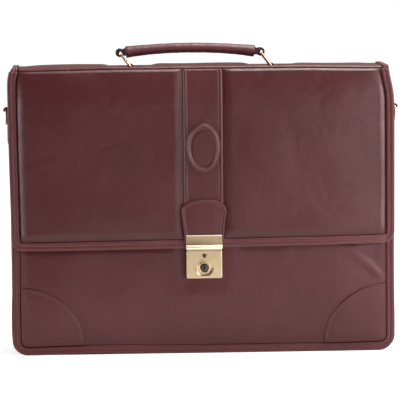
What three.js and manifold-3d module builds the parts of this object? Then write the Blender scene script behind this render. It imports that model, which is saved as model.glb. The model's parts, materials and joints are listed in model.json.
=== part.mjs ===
// A flap-over document case in soft leather: two panels and a gusset sewn into a hollow
// bag with bound edges, a long front flap with a centre strap, an oval badge and a lock tab,
// a brass press lock, an arched handle on two rings, and a ring at each end for a strap.
// Millimetres. X runs along the case, the front faces -Y and Z is up. The origin is on the
// floor, under the middle of the base.
import * as THREE from "three";
import Module from "manifold-3d";
import { mergeVertices } from "three/addons/utils/BufferGeometryUtils.js";

const wasm = await Module();
wasm.setup();

// The bag
const caseWidth = 410; // across the bindings
const caseHeight = 308; // floor to the top panel at its edge
const caseDepth = 76; // front binding's face to back binding's face
const cornerRadius = 16; // bottom corners
const leather = 2; // a leather wall
const sewnGap = 0.3; // clearance between sewn pieces
const seamDrop = 0.8; // how far a panel's edge lies under the binding beside it
const bindingWidth = 6.5;
const bindingThickness = 4;
const bindingLift = 0.3; // bindings clear the floor, so the base carries the case
const pipingDiameter = 2;
const frontPuff = 6; // how far the filled front stands out
const edgeRoll = 1.5; // the quick rise beside a seam
const edgeRollReach = 8;
const puffReach = 60; // from a seam to the full swell of a panel
const foldReach = 40; // from the top's fold to the flap's full swell
const backPuff = 3;
const gussetPuff = 2;
const frontPanelDrop = 4; // front panel's hidden top edge below the top
const rearBend = 12; // outer bend from the back to the top
const frontBend = 2.5; // outer bend from the top to the flap's seam
const topCrown = 2.8; // how far the top swells between the handle's chapes and beyond
const topDip = 4.5; // how far it dips under them
const topDipReach = 22; // from a chape to the full swell
const topEndReach = 30; // from the top's ends to the full swell
const chapeMargin = 2; // flat leather around a chape's foot

// The flap
const flapBottom = 115; // its lower edge above the floor
const flapCornerRadius = 12;
const flapPuff = 2.5; // swell of the fields on both sides of the strap
const strapWidth = 42;
const strapThickness = 1.6;
const strapEdge = 1.5; // width of its thinned edges
const strapChannel = 0.8; // gap from the strap to the swollen fields
const ovalWidth = 35.8;
const ovalHeight = 53.4;
const ovalCentre = 106.5; // above the flap's lower edge
const ovalRim = 1.6;
const ovalMiddle = 1.1;
const tabWidth = 49;
const tabHeight = 51; // from its lower end to the crown of its arch
const tabArch = 14; // height of the arched part
const tabFoot = 42; // width of its lower end
const tabLift = 1; // its lower end above the flap's edge
const tabSquareness = 0.75; // below 1 the arch's sides are squarer than an ellipse's
const tabFlatness = 0.85; // below 1 the arch's crown is flatter

// The corner patches on the front panel
const patchWidth = 67;
const patchHeight = 63.5;
const patchThickness = 1.4;
const patchLift = 0.6; // clearance over the rounded front
const patchCentre = 0.36; // share of its sides from the corner to its middle

// The lock
const haspWidth = 38.4;
const haspHeight = 15.5;
const haspPlate = 1.4;
const haspLip = 5; // how far the lip stands out
const haspLipHeight = 5.4;
const haspCove = 0.8; // how far the plate's edges curve out
const haspCoveReach = 2; // height of that curve under the top rim
const haspRim = 0.5; // height of the flat top rim
const haspOverhang = 1.5; // the lip's lower edge under the flap's edge
const lockWidth = 37.8;
const lockHeight = 30.4;
const lockThickness = 9;
const dishRadius = 10;
const dishDepth = 1.6;
const cylinderHeight = 11.4; // key cylinder's centre above the lock's lower edge
const buttonRadius = 6.5;
const buttonLength = 6;
const buttonProud = 1; // how far the button stands out of the lock's face
const buttonTravel = 1.5;
const plugRadius = 4.7;
const plugInset = 0.5; // the plug's face behind the button's
const turningGap = 0.2;
const keyholeWidth = 1.2;
const keyholeLength = 5.2;
const keyholeDepth = 3;
const pinCentre = 24.2; // small pin above the lock's lower edge
const pinRadius = 1.9;
const pinHoleRadius = 2.4;
const pinHoleDepth = 2;
const pinLength = 1.4;
const cutterReach = 5; // how far a bore's cutter starts in front of the lock's face

// The handle
const handleSpan = 151; // between the two rings' bars
const handleForward = 8; // bars in front of the middle of the depth
const handleRise = 5; // the grip's arch above the line of its bars
const gripThickness = 10.2;
const gripWidth = 15;
const gripSwell = 0.2; // share by which the grip thickens to its ends
const gripStart = 6.4; // grip's end from the bar, along the arch
const loopWidth = 12;
const loopLeather = 3;
const loopTongue = 7; // thickness of the loop's tongue
const ringLean = 37; // degrees, to the left as photographed
const ringReach = 19; // bar to bar
const ringInside = 16; // between the ring's two long sides
const ringWire = 2.4;
const ringCorner = 2.6;
const barGap = 0.4; // clearance of a bar in its leather loop
const barHeight = 3.6; // lower bars above the top panel
const chapeFoot = 18; // length of a handle chape's foot
const chapeFootThickness = 1.6;
const chapeLeather = 1.7;
const chapeFillet = 0.6; // where a loop runs out on its foot

// The strap rings at both ends
const sideRingDrop = 46; // their bars below the top
const sideRingWire = 2.2;
const sideRingInside = 18;
const sideRingReach = 15.5; // bar to the middle of the bow's wire
const sideRingBend = 3; // bend between bar and bow
const sideRingShank = 1; // straight wire between bend and bow
const sideLoopLeather = 1.4;
const sideLoopGap = 0.3;
const sideChapeWidth = 16;
const sideTailLength = 36;
const sideTailThickness = 1.5;

const roundSides = 24;

// Depths follow from the sizes above. Front heights h are measured outwards from the front
// binding's face, and flap heights from the flap's inner face.
const halfWidth = caseWidth / 2;
const halfDepth = caseDepth / 2;
const panelInset = bindingWidth + pipingDiameter + 2 * sewnGap;
const plainInset = bindingWidth + sewnGap;
const caseRim = { half: halfWidth, bottom: bindingLift, radius: cornerRadius };
const flapRim = { half: halfWidth, bottom: flapBottom, radius: flapCornerRadius };
const flapTop = caseHeight - frontBend - sewnGap;
const panelHalf = halfWidth - panelInset;
const panelTop = caseHeight - frontPanelDrop;
const panelBottom = bindingLift + panelInset;
const strapOuter = leather + sewnGap + strapThickness;
const tabSeat = Math.max(strapOuter, bindingThickness) + sewnGap;
const haspSeat = tabSeat + leather + sewnGap;
const fullBulge = frontPuff + edgeRoll;
const backBindingHeight = bindingThickness - leather - seamDrop / 2;
const backBindingLow = backBindingHeight - bindingThickness + frontBend / 4;
const backPlane = halfDepth - backBindingHeight;

const leatherMaterial = new THREE.MeshStandardMaterial({ color: 0x5a3234, roughness: 0.42, metalness: 0 });
const darkLeatherMaterial = new THREE.MeshStandardMaterial({ color: 0x4a292c, roughness: 0.5, metalness: 0 });
const brassMaterial = new THREE.MeshStandardMaterial({ color: 0xe6c592, roughness: 0.28, metalness: 1 });
const keywayMaterial = new THREE.MeshStandardMaterial({ color: 0x4a3a34, roughness: 0.4, metalness: 0.8 });

// Numbers from first to last in equal steps, both ends included.
function steps(first, last, count) {
  return Array.from({ length: count + 1 }, (_, i) => first + ((last - first) * i) / count);
}

// Rises from 0 at the seam to 1 at reach, and stays there.
function rise(distance, reach) {
  return Math.sin((Math.min(Math.max(distance / reach, 0), 1) * Math.PI) / 2);
}

// A closed surface as a geometry, with its faces turned outwards.
function closedSurface(points, triangles) {
  let volume = 0;
  for (const [a, b, c] of triangles) volume += points[a].dot(points[b].clone().cross(points[c]));
  const turned = volume < 0 ? triangles.map(([a, b, c]) => [a, c, b]) : triangles;
  return new THREE.BufferGeometry()
    .setAttribute("position", new THREE.Float32BufferAttribute(points.flatMap((p) => p.toArray()), 3))
    .setIndex(turned.flat());
}

// A thin wall over a grid of stations. face(u, v, side) is a point of its inner face (side 0)
// or its outer face (side 1).
function wall(columns, rows, face) {
  const points = [];
  const triangles = [];
  const at = (side, j, i) => side * rows.length * columns.length + j * columns.length + i;
  for (const side of [0, 1]) for (const v of rows) for (const u of columns) points.push(face(u, v, side));
  const quad = (a, b, c, d) => triangles.push([a, b, c], [a, c, d]);
  const lastRow = rows.length - 1;
  const lastColumn = columns.length - 1;
  for (let j = 0; j < lastRow; j++) {
    for (let i = 0; i < lastColumn; i++) {
      quad(at(1, j, i), at(1, j, i + 1), at(1, j + 1, i + 1), at(1, j + 1, i));
      quad(at(0, j, i), at(0, j + 1, i), at(0, j + 1, i + 1), at(0, j, i + 1));
    }
  }
  for (let i = 0; i < lastColumn; i++) {
    quad(at(0, 0, i), at(0, 0, i + 1), at(1, 0, i + 1), at(1, 0, i));
    quad(at(0, lastRow, i + 1), at(0, lastRow, i), at(1, lastRow, i), at(1, lastRow, i + 1));
  }
  for (let j = 0; j < lastRow; j++) {
    quad(at(0, j + 1, 0), at(0, j, 0), at(1, j, 0), at(1, j + 1, 0));
    quad(at(0, j, lastColumn), at(0, j + 1, lastColumn), at(1, j + 1, lastColumn), at(1, j, lastColumn));
  }
  return closedSurface(points, triangles);
}

// A patch inside an outline that its centre sees all of. rings are shares of the way out to
// the outline, and face(u, v, share, side) is a point of the patch's inner or outer face.
function patch(outline, centre, rings, face) {
  const points = [];
  const triangles = [];
  const count = outline.length;
  const perSide = 1 + rings.length * count;
  for (const side of [0, 1]) {
    points.push(face(centre[0], centre[1], 0, side));
    for (const share of rings) {
      for (const [u, v] of outline) {
        points.push(face(centre[0] + share * (u - centre[0]), centre[1] + share * (v - centre[1]), share, side));
      }
    }
  }
  const at = (side, ring, k) => side * perSide + 1 + ring * count + (k % count);
  for (let k = 0; k < count; k++) {
    triangles.push([perSide, at(1, 0, k), at(1, 0, k + 1)], [0, at(0, 0, k + 1), at(0, 0, k)]);
    for (let ring = 0; ring < rings.length - 1; ring++) {
      const [a, b, c, d] = [at(1, ring, k), at(1, ring + 1, k), at(1, ring + 1, k + 1), at(1, ring, k + 1)];
      triangles.push([a, b, c], [a, c, d]);
      const [e, f, g, h] = [at(0, ring, k), at(0, ring, k + 1), at(0, ring + 1, k + 1), at(0, ring + 1, k)];
      triangles.push([e, f, g], [e, g, h]);
    }
    const rim = rings.length - 1;
    const [a, b, c, d] = [at(1, rim, k), at(0, rim, k), at(0, rim, k + 1), at(1, rim, k + 1)];
    triangles.push([a, b, c], [a, c, d]);
  }
  return closedSurface(points, triangles);
}

// A strip of one section along a path. The path's points are { u, v, nu, nv }, with the way
// across the strip, the section's points are [across, h], and place(u, v, h) puts them in space.
// swell(k) scales the section at point k.
function strip(path, section, place, isRing = false, swell = () => 1) {
  const points = [];
  const triangles = [];
  const count = section.length;
  path.forEach(({ u, v, nu, nv }, k) => {
    const scale = swell(k);
    for (const [across, h] of section) {
      points.push(place(u + scale * across * nu, v + scale * across * nv, scale * h));
    }
  });
  const spans = isRing ? path.length : path.length - 1;
  for (let k = 0; k < spans; k++) {
    const here = k * count;
    const next = ((k + 1) % path.length) * count;
    for (let j = 0; j < count; j++) {
      const after = (j + 1) % count;
      triangles.push([here + j, here + after, next + after], [here + j, next + after, next + j]);
    }
  }
  if (!isRing) {
    const end = (path.length - 1) * count;
    for (let j = 1; j < count - 1; j++) triangles.push([0, j + 1, j], [end, end + j, end + j + 1]);
  }
  return closedSurface(points, triangles);
}

// The path down the left side of a rim, round its bottom corners and up the right side.
// heights are the stations on the sides, from the top down.
function edgePath(rim, heights) {
  const centreU = rim.half - rim.radius;
  const centreV = rim.bottom + rim.radius;
  const side = heights.filter((v) => v > centreV + 1);
  const corner = steps(0, Math.PI / 2, 6);
  const path = side.map((v) => ({ u: -rim.half, v, nu: 1, nv: 0 }));
  for (const turn of corner) {
    const [c, s] = [Math.cos(turn), Math.sin(turn)];
    path.push({ u: -centreU - rim.radius * c, v: centreV - rim.radius * s, nu: c, nv: s });
  }
  for (const u of steps(-centreU, centreU, 16).slice(1, -1)) path.push({ u, v: rim.bottom, nu: 0, nv: 1 });
  for (const turn of corner.slice().reverse()) {
    const [c, s] = [Math.cos(turn), Math.sin(turn)];
    path.push({ u: centreU + rim.radius * c, v: centreV - rim.radius * s, nu: -c, nv: s });
  }
  for (const v of side.slice().reverse()) path.push({ u: rim.half, v, nu: -1, nv: 0 });
  return path;
}

// Half the width of a rim's outline at height v, drawn in by inset.
function outlineHalf(rim, inset, v) {
  const below = rim.bottom + rim.radius - v;
  if (below <= 0) return rim.half - inset;
  const radius = rim.radius - inset;
  return rim.half - rim.radius + Math.sqrt(Math.max(radius * radius - below * below, 0));
}

// A binding's section: a bar with rounded long edges on its outer face.
function bindingSection(low, high) {
  const soft = (high - low) / 3;
  return [
    [0, low],
    [bindingWidth, low],
    [bindingWidth, high - soft],
    [bindingWidth - soft, high],
    [soft, high],
    [0, high - soft],
  ];
}

function roundSection(radius, centreAcross, centreH, sides = 8) {
  return steps(0, 2 * Math.PI, sides)
    .slice(0, -1)
    .map((turn) => [centreAcross + radius * Math.cos(turn), centreH + radius * Math.sin(turn)]);
}

// How far the filled front panel stands out of its edge at a point.
function frontBulge(x, z) {
  const side = panelHalf - Math.abs(x);
  const below = z - panelBottom;
  const above = panelTop - z;
  return (
    edgeRoll * rise(Math.min(side, below, above), edgeRollReach) +
    frontPuff * rise(side, puffReach) * rise(below, puffReach) * rise(above, puffReach)
  );
}

// How far the flap is pushed out by the front behind it.
function flapBulge(x, z) {
  const side = panelHalf - Math.abs(x);
  return (edgeRoll * rise(side, edgeRollReach) + frontPuff * rise(side, puffReach)) * rise(flapTop - z, foldReach);
}

// The swell of the two fields beside the strap.
function fieldSwell(x, z) {
  const side = panelHalf - Math.abs(x);
  const channel = Math.abs(x) - strapWidth / 2 - strapChannel;
  const below = z - flapBottom - panelInset;
  return flapPuff * rise(Math.min(side, channel, below, flapTop - z), edgeRollReach);
}

const frontPlace = (u, v, h) => new THREE.Vector3(u, -halfDepth - h, v);
const flapPlace = (u, v, h) => new THREE.Vector3(u, -halfDepth - sewnGap - flapBulge(u, v) - h, v);

// Stations across a half, close together by its edges, and mirrored.
function mirrored(stations) {
  const outwards = stations.filter((u) => u > 0).sort((a, b) => a - b);
  return [...outwards.map((u) => -u).reverse(), 0, ...outwards];
}

const group = new THREE.Group();

function add(name, geometry, material, parent = group) {
  const mesh = new THREE.Mesh(geometry, material);
  mesh.name = name;
  parent.add(mesh);
  return mesh;
}

// The front panel, its binding and its piping
const cornerTop = bindingLift + cornerRadius;
const sideColumns = [1, 0.985, 0.96, 0.9, 0.8, 0.65, 0.4, 0.2];
const frontRows = [
  ...steps(panelBottom, cornerTop, 4),
  panelBottom + puffReach / 4,
  panelBottom + puffReach / 2,
  ...steps(panelBottom + puffReach, panelTop - puffReach, 4),
  panelTop - puffReach / 2,
  panelTop - edgeRollReach,
  panelTop,
];
const frontPanel = wall(mirrored(sideColumns), frontRows, (share, z, side) => {
  const x = share * outlineHalf(caseRim, panelInset, z);
  return frontPlace(x, z, frontBulge(x, z) - seamDrop - (side ? 0 : leather));
});
const frontEdge = edgePath(caseRim, steps(panelTop, cornerTop, 2));
const frontBinding = strip(frontEdge, bindingSection(-bindingThickness, 0), frontPlace);
const pipingAcross = bindingWidth + sewnGap + pipingDiameter / 2;
const frontPiping = strip(
  frontEdge,
  roundSection(pipingDiameter / 2, pipingAcross, -seamDrop / 2 - pipingDiameter / 2, 6),
  frontPlace,
);
add("front_panel", frontPanel, leatherMaterial);
add("front_binding", frontBinding, leatherMaterial);
add("front_piping", frontPiping, leatherMaterial);

// The gusset, one strip down one end, under the base and up the other end
const gussetHalfDepth = halfDepth - bindingThickness - sewnGap;
const bendInside = rearBend + Math.min(backBindingLow, -leather) - 2 * sewnGap;
const gussetTop = caseHeight - rearBend + bendInside;

// How high the gusset may reach at depth y, under the top and inside the rear bend.
function gussetEnd(y) {
  const out = Math.max(y - (backPlane - rearBend), 0);
  return caseHeight - rearBend + Math.sqrt(Math.max(bendInside ** 2 - out ** 2, 0));
}

const gussetRim = { half: halfWidth - 0.5, bottom: 0, radius: cornerRadius };
const gussetPath = edgePath(gussetRim, steps(gussetTop, cornerRadius, 4));
const gusset = wall(steps(-gussetHalfDepth, gussetHalfDepth, 6), gussetPath, (y, point, side) => {
  const round = 1 - (y / gussetHalfDepth) ** 2;
  const swell = gussetPuff * round * rise(point.v - cornerRadius, puffReach) * Math.abs(point.nu);
  const inwards = (side ? 0 : leather) - swell;
  return new THREE.Vector3(point.u + inwards * point.nu, y, Math.min(point.v + inwards * point.nv, gussetEnd(y)));
});
add("gusset", gusset, leatherMaterial);

// The back and the top are one piece. Its profile runs from the floor up the back, over the
// rear bend, along the top and round the front bend to the flap's seam.
const frontPlane = -halfDepth - sewnGap - leather;
const backRise = caseHeight - rearBend;
const rearArc = (rearBend * Math.PI) / 2;
const topRun = backPlane - rearBend - (frontPlane + frontBend);
const frontArc = (frontBend * Math.PI) / 2;
const profileLength = backRise + rearArc + topRun + frontArc;

function backPlace(u, v, h) {
  if (v <= backRise) return new THREE.Vector3(u, backPlane + h, v);
  if (v <= backRise + rearArc) {
    const turn = (v - backRise) / rearBend;
    const reach = rearBend + h;
    return new THREE.Vector3(u, backPlane - rearBend + reach * Math.cos(turn), backRise + reach * Math.sin(turn));
  }
  const along = v - backRise - rearArc;
  if (along <= topRun) return new THREE.Vector3(u, backPlane - rearBend - along, caseHeight + h);
  const turn = (along - topRun) / frontBend;
  const reach = frontBend + h;
  return new THREE.Vector3(
    u,
    frontPlane + frontBend - reach * Math.sin(turn),
    caseHeight - frontBend + reach * Math.cos(turn),
  );
}

const backHalf = halfWidth - plainInset;
const backBottom = bindingLift + plainInset;

// The top swells between the handle's chapes and beyond them, and dips under them.
function topSwell(x, v) {
  const along = v - backRise - rearArc;
  if (along <= 0 || along >= topRun) return 0;
  const fromChape = Math.abs(Math.abs(x) - handleSpan / 2) - chapeFoot / 2 - chapeMargin;
  const lengthwise = rise(fromChape, topDipReach) * rise(backHalf - Math.abs(x), topEndReach);
  const level = topCrown * lengthwise - topDip * (1 - rise(fromChape, topDipReach));
  return level * rise(Math.min(along, topRun - along), topRun / 3);
}

function backSwell(x, v) {
  const side = backHalf - Math.abs(x);
  return backPuff * rise(side, puffReach) * rise(v - backBottom, puffReach) * rise(backRise - v, puffReach);
}

const chapeInner = handleSpan / 2 - chapeFoot / 2 - chapeMargin;
const chapeOuter = handleSpan / 2 + chapeFoot / 2 + chapeMargin;
const backColumns = mirrored([
  chapeInner / 3,
  chapeInner - topDipReach,
  chapeInner - topDipReach / 2,
  chapeInner,
  chapeOuter,
  chapeOuter + topDipReach / 2,
  chapeOuter + topDipReach,
  backHalf - topEndReach,
  backHalf - 12,
  backHalf,
]).map((x) => x / backHalf);
const backRows = [
  ...steps(backBottom, cornerTop, 2),
  ...steps(backBottom + 25, backRise - 25, 3),
  ...steps(backRise, backRise + rearArc, 4),
  ...steps(backRise + rearArc, backRise + rearArc + topRun, 6).slice(1),
  ...steps(profileLength - frontArc, profileLength, 3).slice(1),
];
const backAndTop = wall(backColumns, backRows, (share, v, side) => {
  const x = share * outlineHalf(caseRim, plainInset, v);
  return backPlace(x, v, backSwell(x, v) + topSwell(x, v) - (side ? 0 : leather));
});
const backEdge = edgePath(caseRim, backRows.slice().reverse());
const backBinding = strip(backEdge, bindingSection(backBindingLow, backBindingHeight), backPlace);
add("back_and_top", backAndTop, leatherMaterial);
add("back_binding", backBinding, leatherMaterial);

// The flap's front, its binding and its piping
const fieldEdge = strapWidth / 2 + strapChannel;
const flapColumns = mirrored([
  panelHalf,
  panelHalf - 3,
  panelHalf - edgeRollReach,
  panelHalf - puffReach / 3,
  panelHalf - (2 * puffReach) / 3,
  panelHalf - puffReach,
  (panelHalf + fieldEdge) / 3,
  fieldEdge + edgeRollReach,
  fieldEdge + 3,
  fieldEdge,
]).map((x) => x / panelHalf);
const flapEdgeBottom = flapBottom + panelInset;
const flapCornerTop = flapBottom + flapCornerRadius;
const flapRows = [
  flapEdgeBottom,
  (flapEdgeBottom + flapCornerTop) / 2,
  flapCornerTop,
  flapEdgeBottom + edgeRollReach,
  ...steps(flapCornerTop + 20, flapTop - foldReach, 2),
  flapTop - 0.6 * foldReach,
  flapTop - 0.3 * foldReach,
  flapTop - edgeRollReach / 2,
  flapTop,
].sort((a, b) => a - b);
const flapPanel = wall(flapColumns, flapRows, (share, z, side) => {
  const x = share * outlineHalf(flapRim, panelInset, z);
  return flapPlace(x, z, fieldSwell(x, z) + (side ? leather : 0));
});
const flapEdge = edgePath(flapRim, steps(flapTop, flapCornerTop, 7));
const flapBinding = strip(flapEdge, bindingSection(0, bindingThickness), flapPlace);
const flapPiping = strip(
  flapEdge,
  roundSection(pipingDiameter / 2, pipingAcross, bindingThickness - seamDrop / 2 - pipingDiameter / 2, 6),
  flapPlace,
);
add("flap_panel", flapPanel, leatherMaterial);
add("flap_binding", flapBinding, leatherMaterial);
add("flap_piping", flapPiping, leatherMaterial);

// The centre strap down the flap, with the oval badge and the lock tab on it
const strapRows = [
  ...steps(flapEdgeBottom + sewnGap, flapTop - foldReach, 3),
  flapTop - 0.6 * foldReach,
  flapTop - 0.3 * foldReach,
  flapTop - edgeRollReach / 2,
  flapTop - sewnGap,
];
const strapSeat = leather + sewnGap;
const centreStrap = wall(mirrored([strapWidth / 2, strapWidth / 2 - strapEdge]), strapRows, (x, z, side) => {
  const edge = rise(strapWidth / 2 - Math.abs(x), strapEdge);
  return flapPlace(x, z, strapSeat + (side ? strapThickness * (0.5 + 0.5 * edge) : 0));
});
const ovalOutline = steps(0, 2 * Math.PI, 32)
  .slice(0, -1)
  .map((turn) => [(ovalWidth / 2) * Math.cos(turn), flapBottom + ovalCentre + (ovalHeight / 2) * Math.sin(turn)]);
const ovalHeights = { 0: ovalMiddle, 0.76: ovalMiddle, 0.84: ovalRim, 0.94: ovalRim, 1: ovalRim / 2 };
const ovalPatch = patch(ovalOutline, [0, flapBottom + ovalCentre], [0.76, 0.84, 0.94, 1], (x, z, share, side) =>
  flapPlace(x, z, strapOuter + sewnGap + (side ? ovalHeights[share] : 0)),
);

// The tab's outline: an arch on straight sides that draw in to the hasp.
const tabBase = flapBottom + tabLift;
const tabShoulder = tabBase + tabHeight - tabArch;
const tabOutline = [
  [-tabFoot / 2, tabBase],
  [tabFoot / 2, tabBase],
  ...steps(0, Math.PI, 16).map((turn) => {
    const [c, s] = [Math.cos(turn), Math.sin(turn)];
    const across = Math.sign(c) * Math.abs(c) ** tabSquareness;
    return [(across * tabWidth) / 2, tabShoulder + tabArch * s ** tabFlatness];
  }),
];
const lockTab = patch(tabOutline, [0, tabShoulder - tabArch / 2], [0.9, 1], (x, z, share, side) =>
  flapPlace(x, z, tabSeat + (side ? (share === 1 ? leather / 2 : leather) : 0)),
);
add("centre_strap", centreStrap, leatherMaterial);
add("oval_patch", ovalPatch, leatherMaterial);
add("lock_tab", lockTab, leatherMaterial);

// The quarter-round patches on the front panel's lower corners
function cornerPatch(sideSign) {
  const innerRadius = cornerRadius - panelInset - sewnGap;
  const edgeX = panelHalf - sewnGap;
  const edgeZ = panelBottom + sewnGap;
  const outline = [
    ...steps(0, Math.PI / 2, 12).map((turn) => [
      edgeX - patchWidth * Math.sin(turn),
      edgeZ + patchHeight * Math.cos(turn),
    ]),
    ...steps(0, Math.PI / 2, 4).map((turn) => [
      edgeX - innerRadius * (1 - Math.sin(turn)),
      edgeZ + innerRadius * (1 - Math.cos(turn)),
    ]),
  ].map(([x, z]) => [sideSign * x, z]);
  const centre = [sideSign * (edgeX - patchWidth * patchCentre), edgeZ + patchHeight * patchCentre];
  return patch(outline, centre, [0.35, 0.7, 0.86, 0.94, 1], (x, z, share, side) => {
    const seat = frontBulge(x, z) - seamDrop + patchLift;
    return frontPlace(x, z, seat + (side ? patchThickness * (share === 1 ? 0.5 : 1) : 0));
  });
}
add("corner_patch_left", cornerPatch(-1), leatherMaterial);
add("corner_patch_right", cornerPatch(1), leatherMaterial);

// Joins and cuts with manifold-3d
function toManifold(geometry) {
  const bare = geometry.clone();
  bare.deleteAttribute("normal");
  bare.deleteAttribute("uv");
  const merged = mergeVertices(bare, 1e-4);
  return new wasm.Manifold(
    new wasm.Mesh({
      numProp: 3,
      vertProperties: new Float32Array(merged.attributes.position.array),
      triVerts: new Uint32Array(merged.index.array),
    }),
  );
}

function fromManifold(manifold) {
  const mesh = manifold.getMesh();
  return new THREE.BufferGeometry()
    .setAttribute("position", new THREE.Float32BufferAttribute(mesh.vertProperties, 3))
    .setIndex([...mesh.triVerts]);
}

// A shape drawn in X and Z, of some width along Y about the middle
function acrossDepth(shape, width) {
  return new THREE.ExtrudeGeometry(shape, { depth: width, bevelEnabled: false, curveSegments: 6 })
    .translate(0, 0, -width / 2)
    .rotateX(Math.PI / 2);
}

// A round bar along Y whose front end is at y
function barAlongDepth(radius, length, y) {
  return new THREE.CylinderGeometry(radius, radius, length, roundSides).translate(0, y + length / 2, 0);
}

// The hasp on the tab: a coved plate over a rounded lip, drawn in depth and height
const haspFace = -halfDepth - sewnGap - fullBulge - haspSeat;
const haspBottom = flapBottom - haspOverhang;
const lipRadius = haspLipHeight / 2;
const haspShape = new THREE.Shape();
haspShape.moveTo(0, 0);
haspShape.lineTo(haspLip - lipRadius, 0);
haspShape.absarc(haspLip - lipRadius, lipRadius, lipRadius, -Math.PI / 2, Math.PI / 2, false);
haspShape.lineTo(haspPlate, haspLipHeight + haspCove);
haspShape.lineTo(haspPlate, haspHeight - haspRim - haspCoveReach);
haspShape.lineTo(haspPlate + haspCove, haspHeight - haspRim);
haspShape.lineTo(haspPlate + haspCove, haspHeight);
haspShape.lineTo(0, haspHeight);
const hasp = new THREE.ExtrudeGeometry(haspShape, { depth: haspWidth, bevelEnabled: false, curveSegments: 8 })
  .translate(0, 0, -haspWidth / 2)
  .rotateX(Math.PI / 2)
  .rotateZ(-Math.PI / 2)
  .translate(0, haspFace, haspBottom);
add("hasp", hasp, brassMaterial);

// The lock under it: a block with a finger dish, a bore for the button and a pin's hole
const lockBack = -halfDepth + seamDrop - fullBulge - sewnGap;
const lockFace = lockBack - lockThickness;
const lockTop = haspBottom - sewnGap;
const lockBottom = lockTop - lockHeight;
const cylinderZ = lockBottom + cylinderHeight;
const pinZ = lockBottom + pinCentre;
const boreRadius = buttonRadius + turningGap;
const boreDepth = buttonLength - buttonProud + buttonTravel + sewnGap;
const dishBall = (dishRadius ** 2 + dishDepth ** 2) / (2 * dishDepth);
const dish = new THREE.SphereGeometry(dishBall, 96, 64).rotateX(Math.PI / 2);
const boreCutter = (radius, depth, z) =>
  barAlongDepth(radius, depth + cutterReach, lockFace - cutterReach).translate(0, 0, z);
const lockBlock = toManifold(
  new THREE.BoxGeometry(lockWidth, lockThickness, lockHeight).translate(
    0,
    lockBack - lockThickness / 2,
    lockBottom + lockHeight / 2,
  ),
)
  .subtract(toManifold(dish.translate(0, lockFace + dishDepth - dishBall, cylinderZ)))
  .subtract(toManifold(boreCutter(boreRadius, boreDepth, cylinderZ)))
  .subtract(toManifold(boreCutter(pinHoleRadius, pinHoleDepth, pinZ)));
add("lock_case", fromManifold(lockBlock), brassMaterial);
const pinFace = lockFace + pinHoleDepth - sewnGap - pinLength;
add("lock_pin", barAlongDepth(pinRadius, pinLength, pinFace).translate(0, 0, pinZ), keywayMaterial);

// The press button is a sleeve, and the key plug turns in it.
const buttonFace = lockFace - buttonProud;
const sleeveInside = plugRadius + turningGap;
const sleeve = toManifold(barAlongDepth(buttonRadius, buttonLength, buttonFace)).subtract(
  toManifold(barAlongDepth(sleeveInside, buttonLength + 2, buttonFace - 1)),
);
const plugFace = buttonFace + plugInset;
const keyhole = new THREE.BoxGeometry(keyholeWidth, 2 * keyholeDepth, keyholeLength).translate(0, plugFace, 0);
const plugBar = barAlongDepth(plugRadius, buttonLength - plugInset, plugFace);
const plug = toManifold(plugBar).subtract(toManifold(keyhole));
add("lock_button", fromManifold(sleeve).translate(0, 0, cylinderZ), brassMaterial);
add("key_plug", fromManifold(plug).translate(0, 0, cylinderZ), keywayMaterial);

// Chapes, small leather loops sewn on the top, one around each lower bar
const barHole = ringWire / 2 + barGap;
const chapeOutside = barHole + chapeLeather;
function handleChape() {
  const shape = new THREE.Shape();
  const foot = -barHeight + sewnGap;
  const footTop = foot + chapeFootThickness;
  const tangent = Math.PI / 5;
  shape.moveTo(-chapeFoot / 2, foot);
  shape.lineTo(chapeFoot / 2, foot);
  shape.lineTo(chapeFoot / 2, foot + chapeFootThickness / 2);
  shape.lineTo(chapeOutside + chapeFillet, footTop);
  shape.absarc(0, 0, chapeOutside, -tangent, Math.PI + tangent, false);
  shape.lineTo(-chapeOutside - chapeFillet, footTop);
  shape.lineTo(-chapeFoot / 2, foot + chapeFootThickness / 2);
  shape.holes.push(new THREE.Path().absarc(0, 0, barHole, 0, 2 * Math.PI, true));
  return acrossDepth(shape, loopWidth);
}

// A ring of wire in the plane of Y and its own reach, standing up from its lower bar
function handleRing() {
  const halfAcross = (ringInside + ringWire) / 2;
  const corners = [
    [halfAcross - ringCorner, ringReach - ringCorner, 0],
    [-halfAcross + ringCorner, ringReach - ringCorner, 1],
    [-halfAcross + ringCorner, ringCorner, 2],
    [halfAcross - ringCorner, ringCorner, 3],
  ];
  const path = corners.flatMap(([u, v, quarter]) =>
    steps((quarter * Math.PI) / 2, ((quarter + 1) * Math.PI) / 2, 4).map((turn) => {
      const [c, s] = [Math.cos(turn), Math.sin(turn)];
      return { u: u + ringCorner * c, v: v + ringCorner * s, nu: c, nv: s };
    }),
  );
  return strip(path, roundSection(ringWire / 2, 0, 0), (u, v, h) => new THREE.Vector3(h, u, v), true);
}

// The grip is a rolled tube on an arc through both upper bars.
const archRadius = ((handleSpan / 2) ** 2 + handleRise ** 2) / (2 * handleRise);
const archHalf = Math.asin(handleSpan / 2 / archRadius);
const gripHalf = archHalf - gripStart / archRadius;
function handleGrip() {
  const path = steps(-gripHalf, gripHalf, 12).map((turn) => {
    const [s, c] = [Math.sin(turn), Math.cos(turn)];
    return { u: archRadius * s, v: archRadius * (c - Math.cos(archHalf)), nu: s, nv: c };
  });
  const section = steps(0, 2 * Math.PI, 12)
    .slice(0, -1)
    .map((turn) => [(gripThickness / 2) * Math.sin(turn), (gripWidth / 2) * Math.cos(turn)]);
  const middle = (path.length - 1) / 2;
  const swell = (k) => 1 + gripSwell * (Math.abs(k - middle) / middle) ** 4;
  return strip(path, section, (u, v, h) => new THREE.Vector3(u, h, v), false, swell);
}

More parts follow.
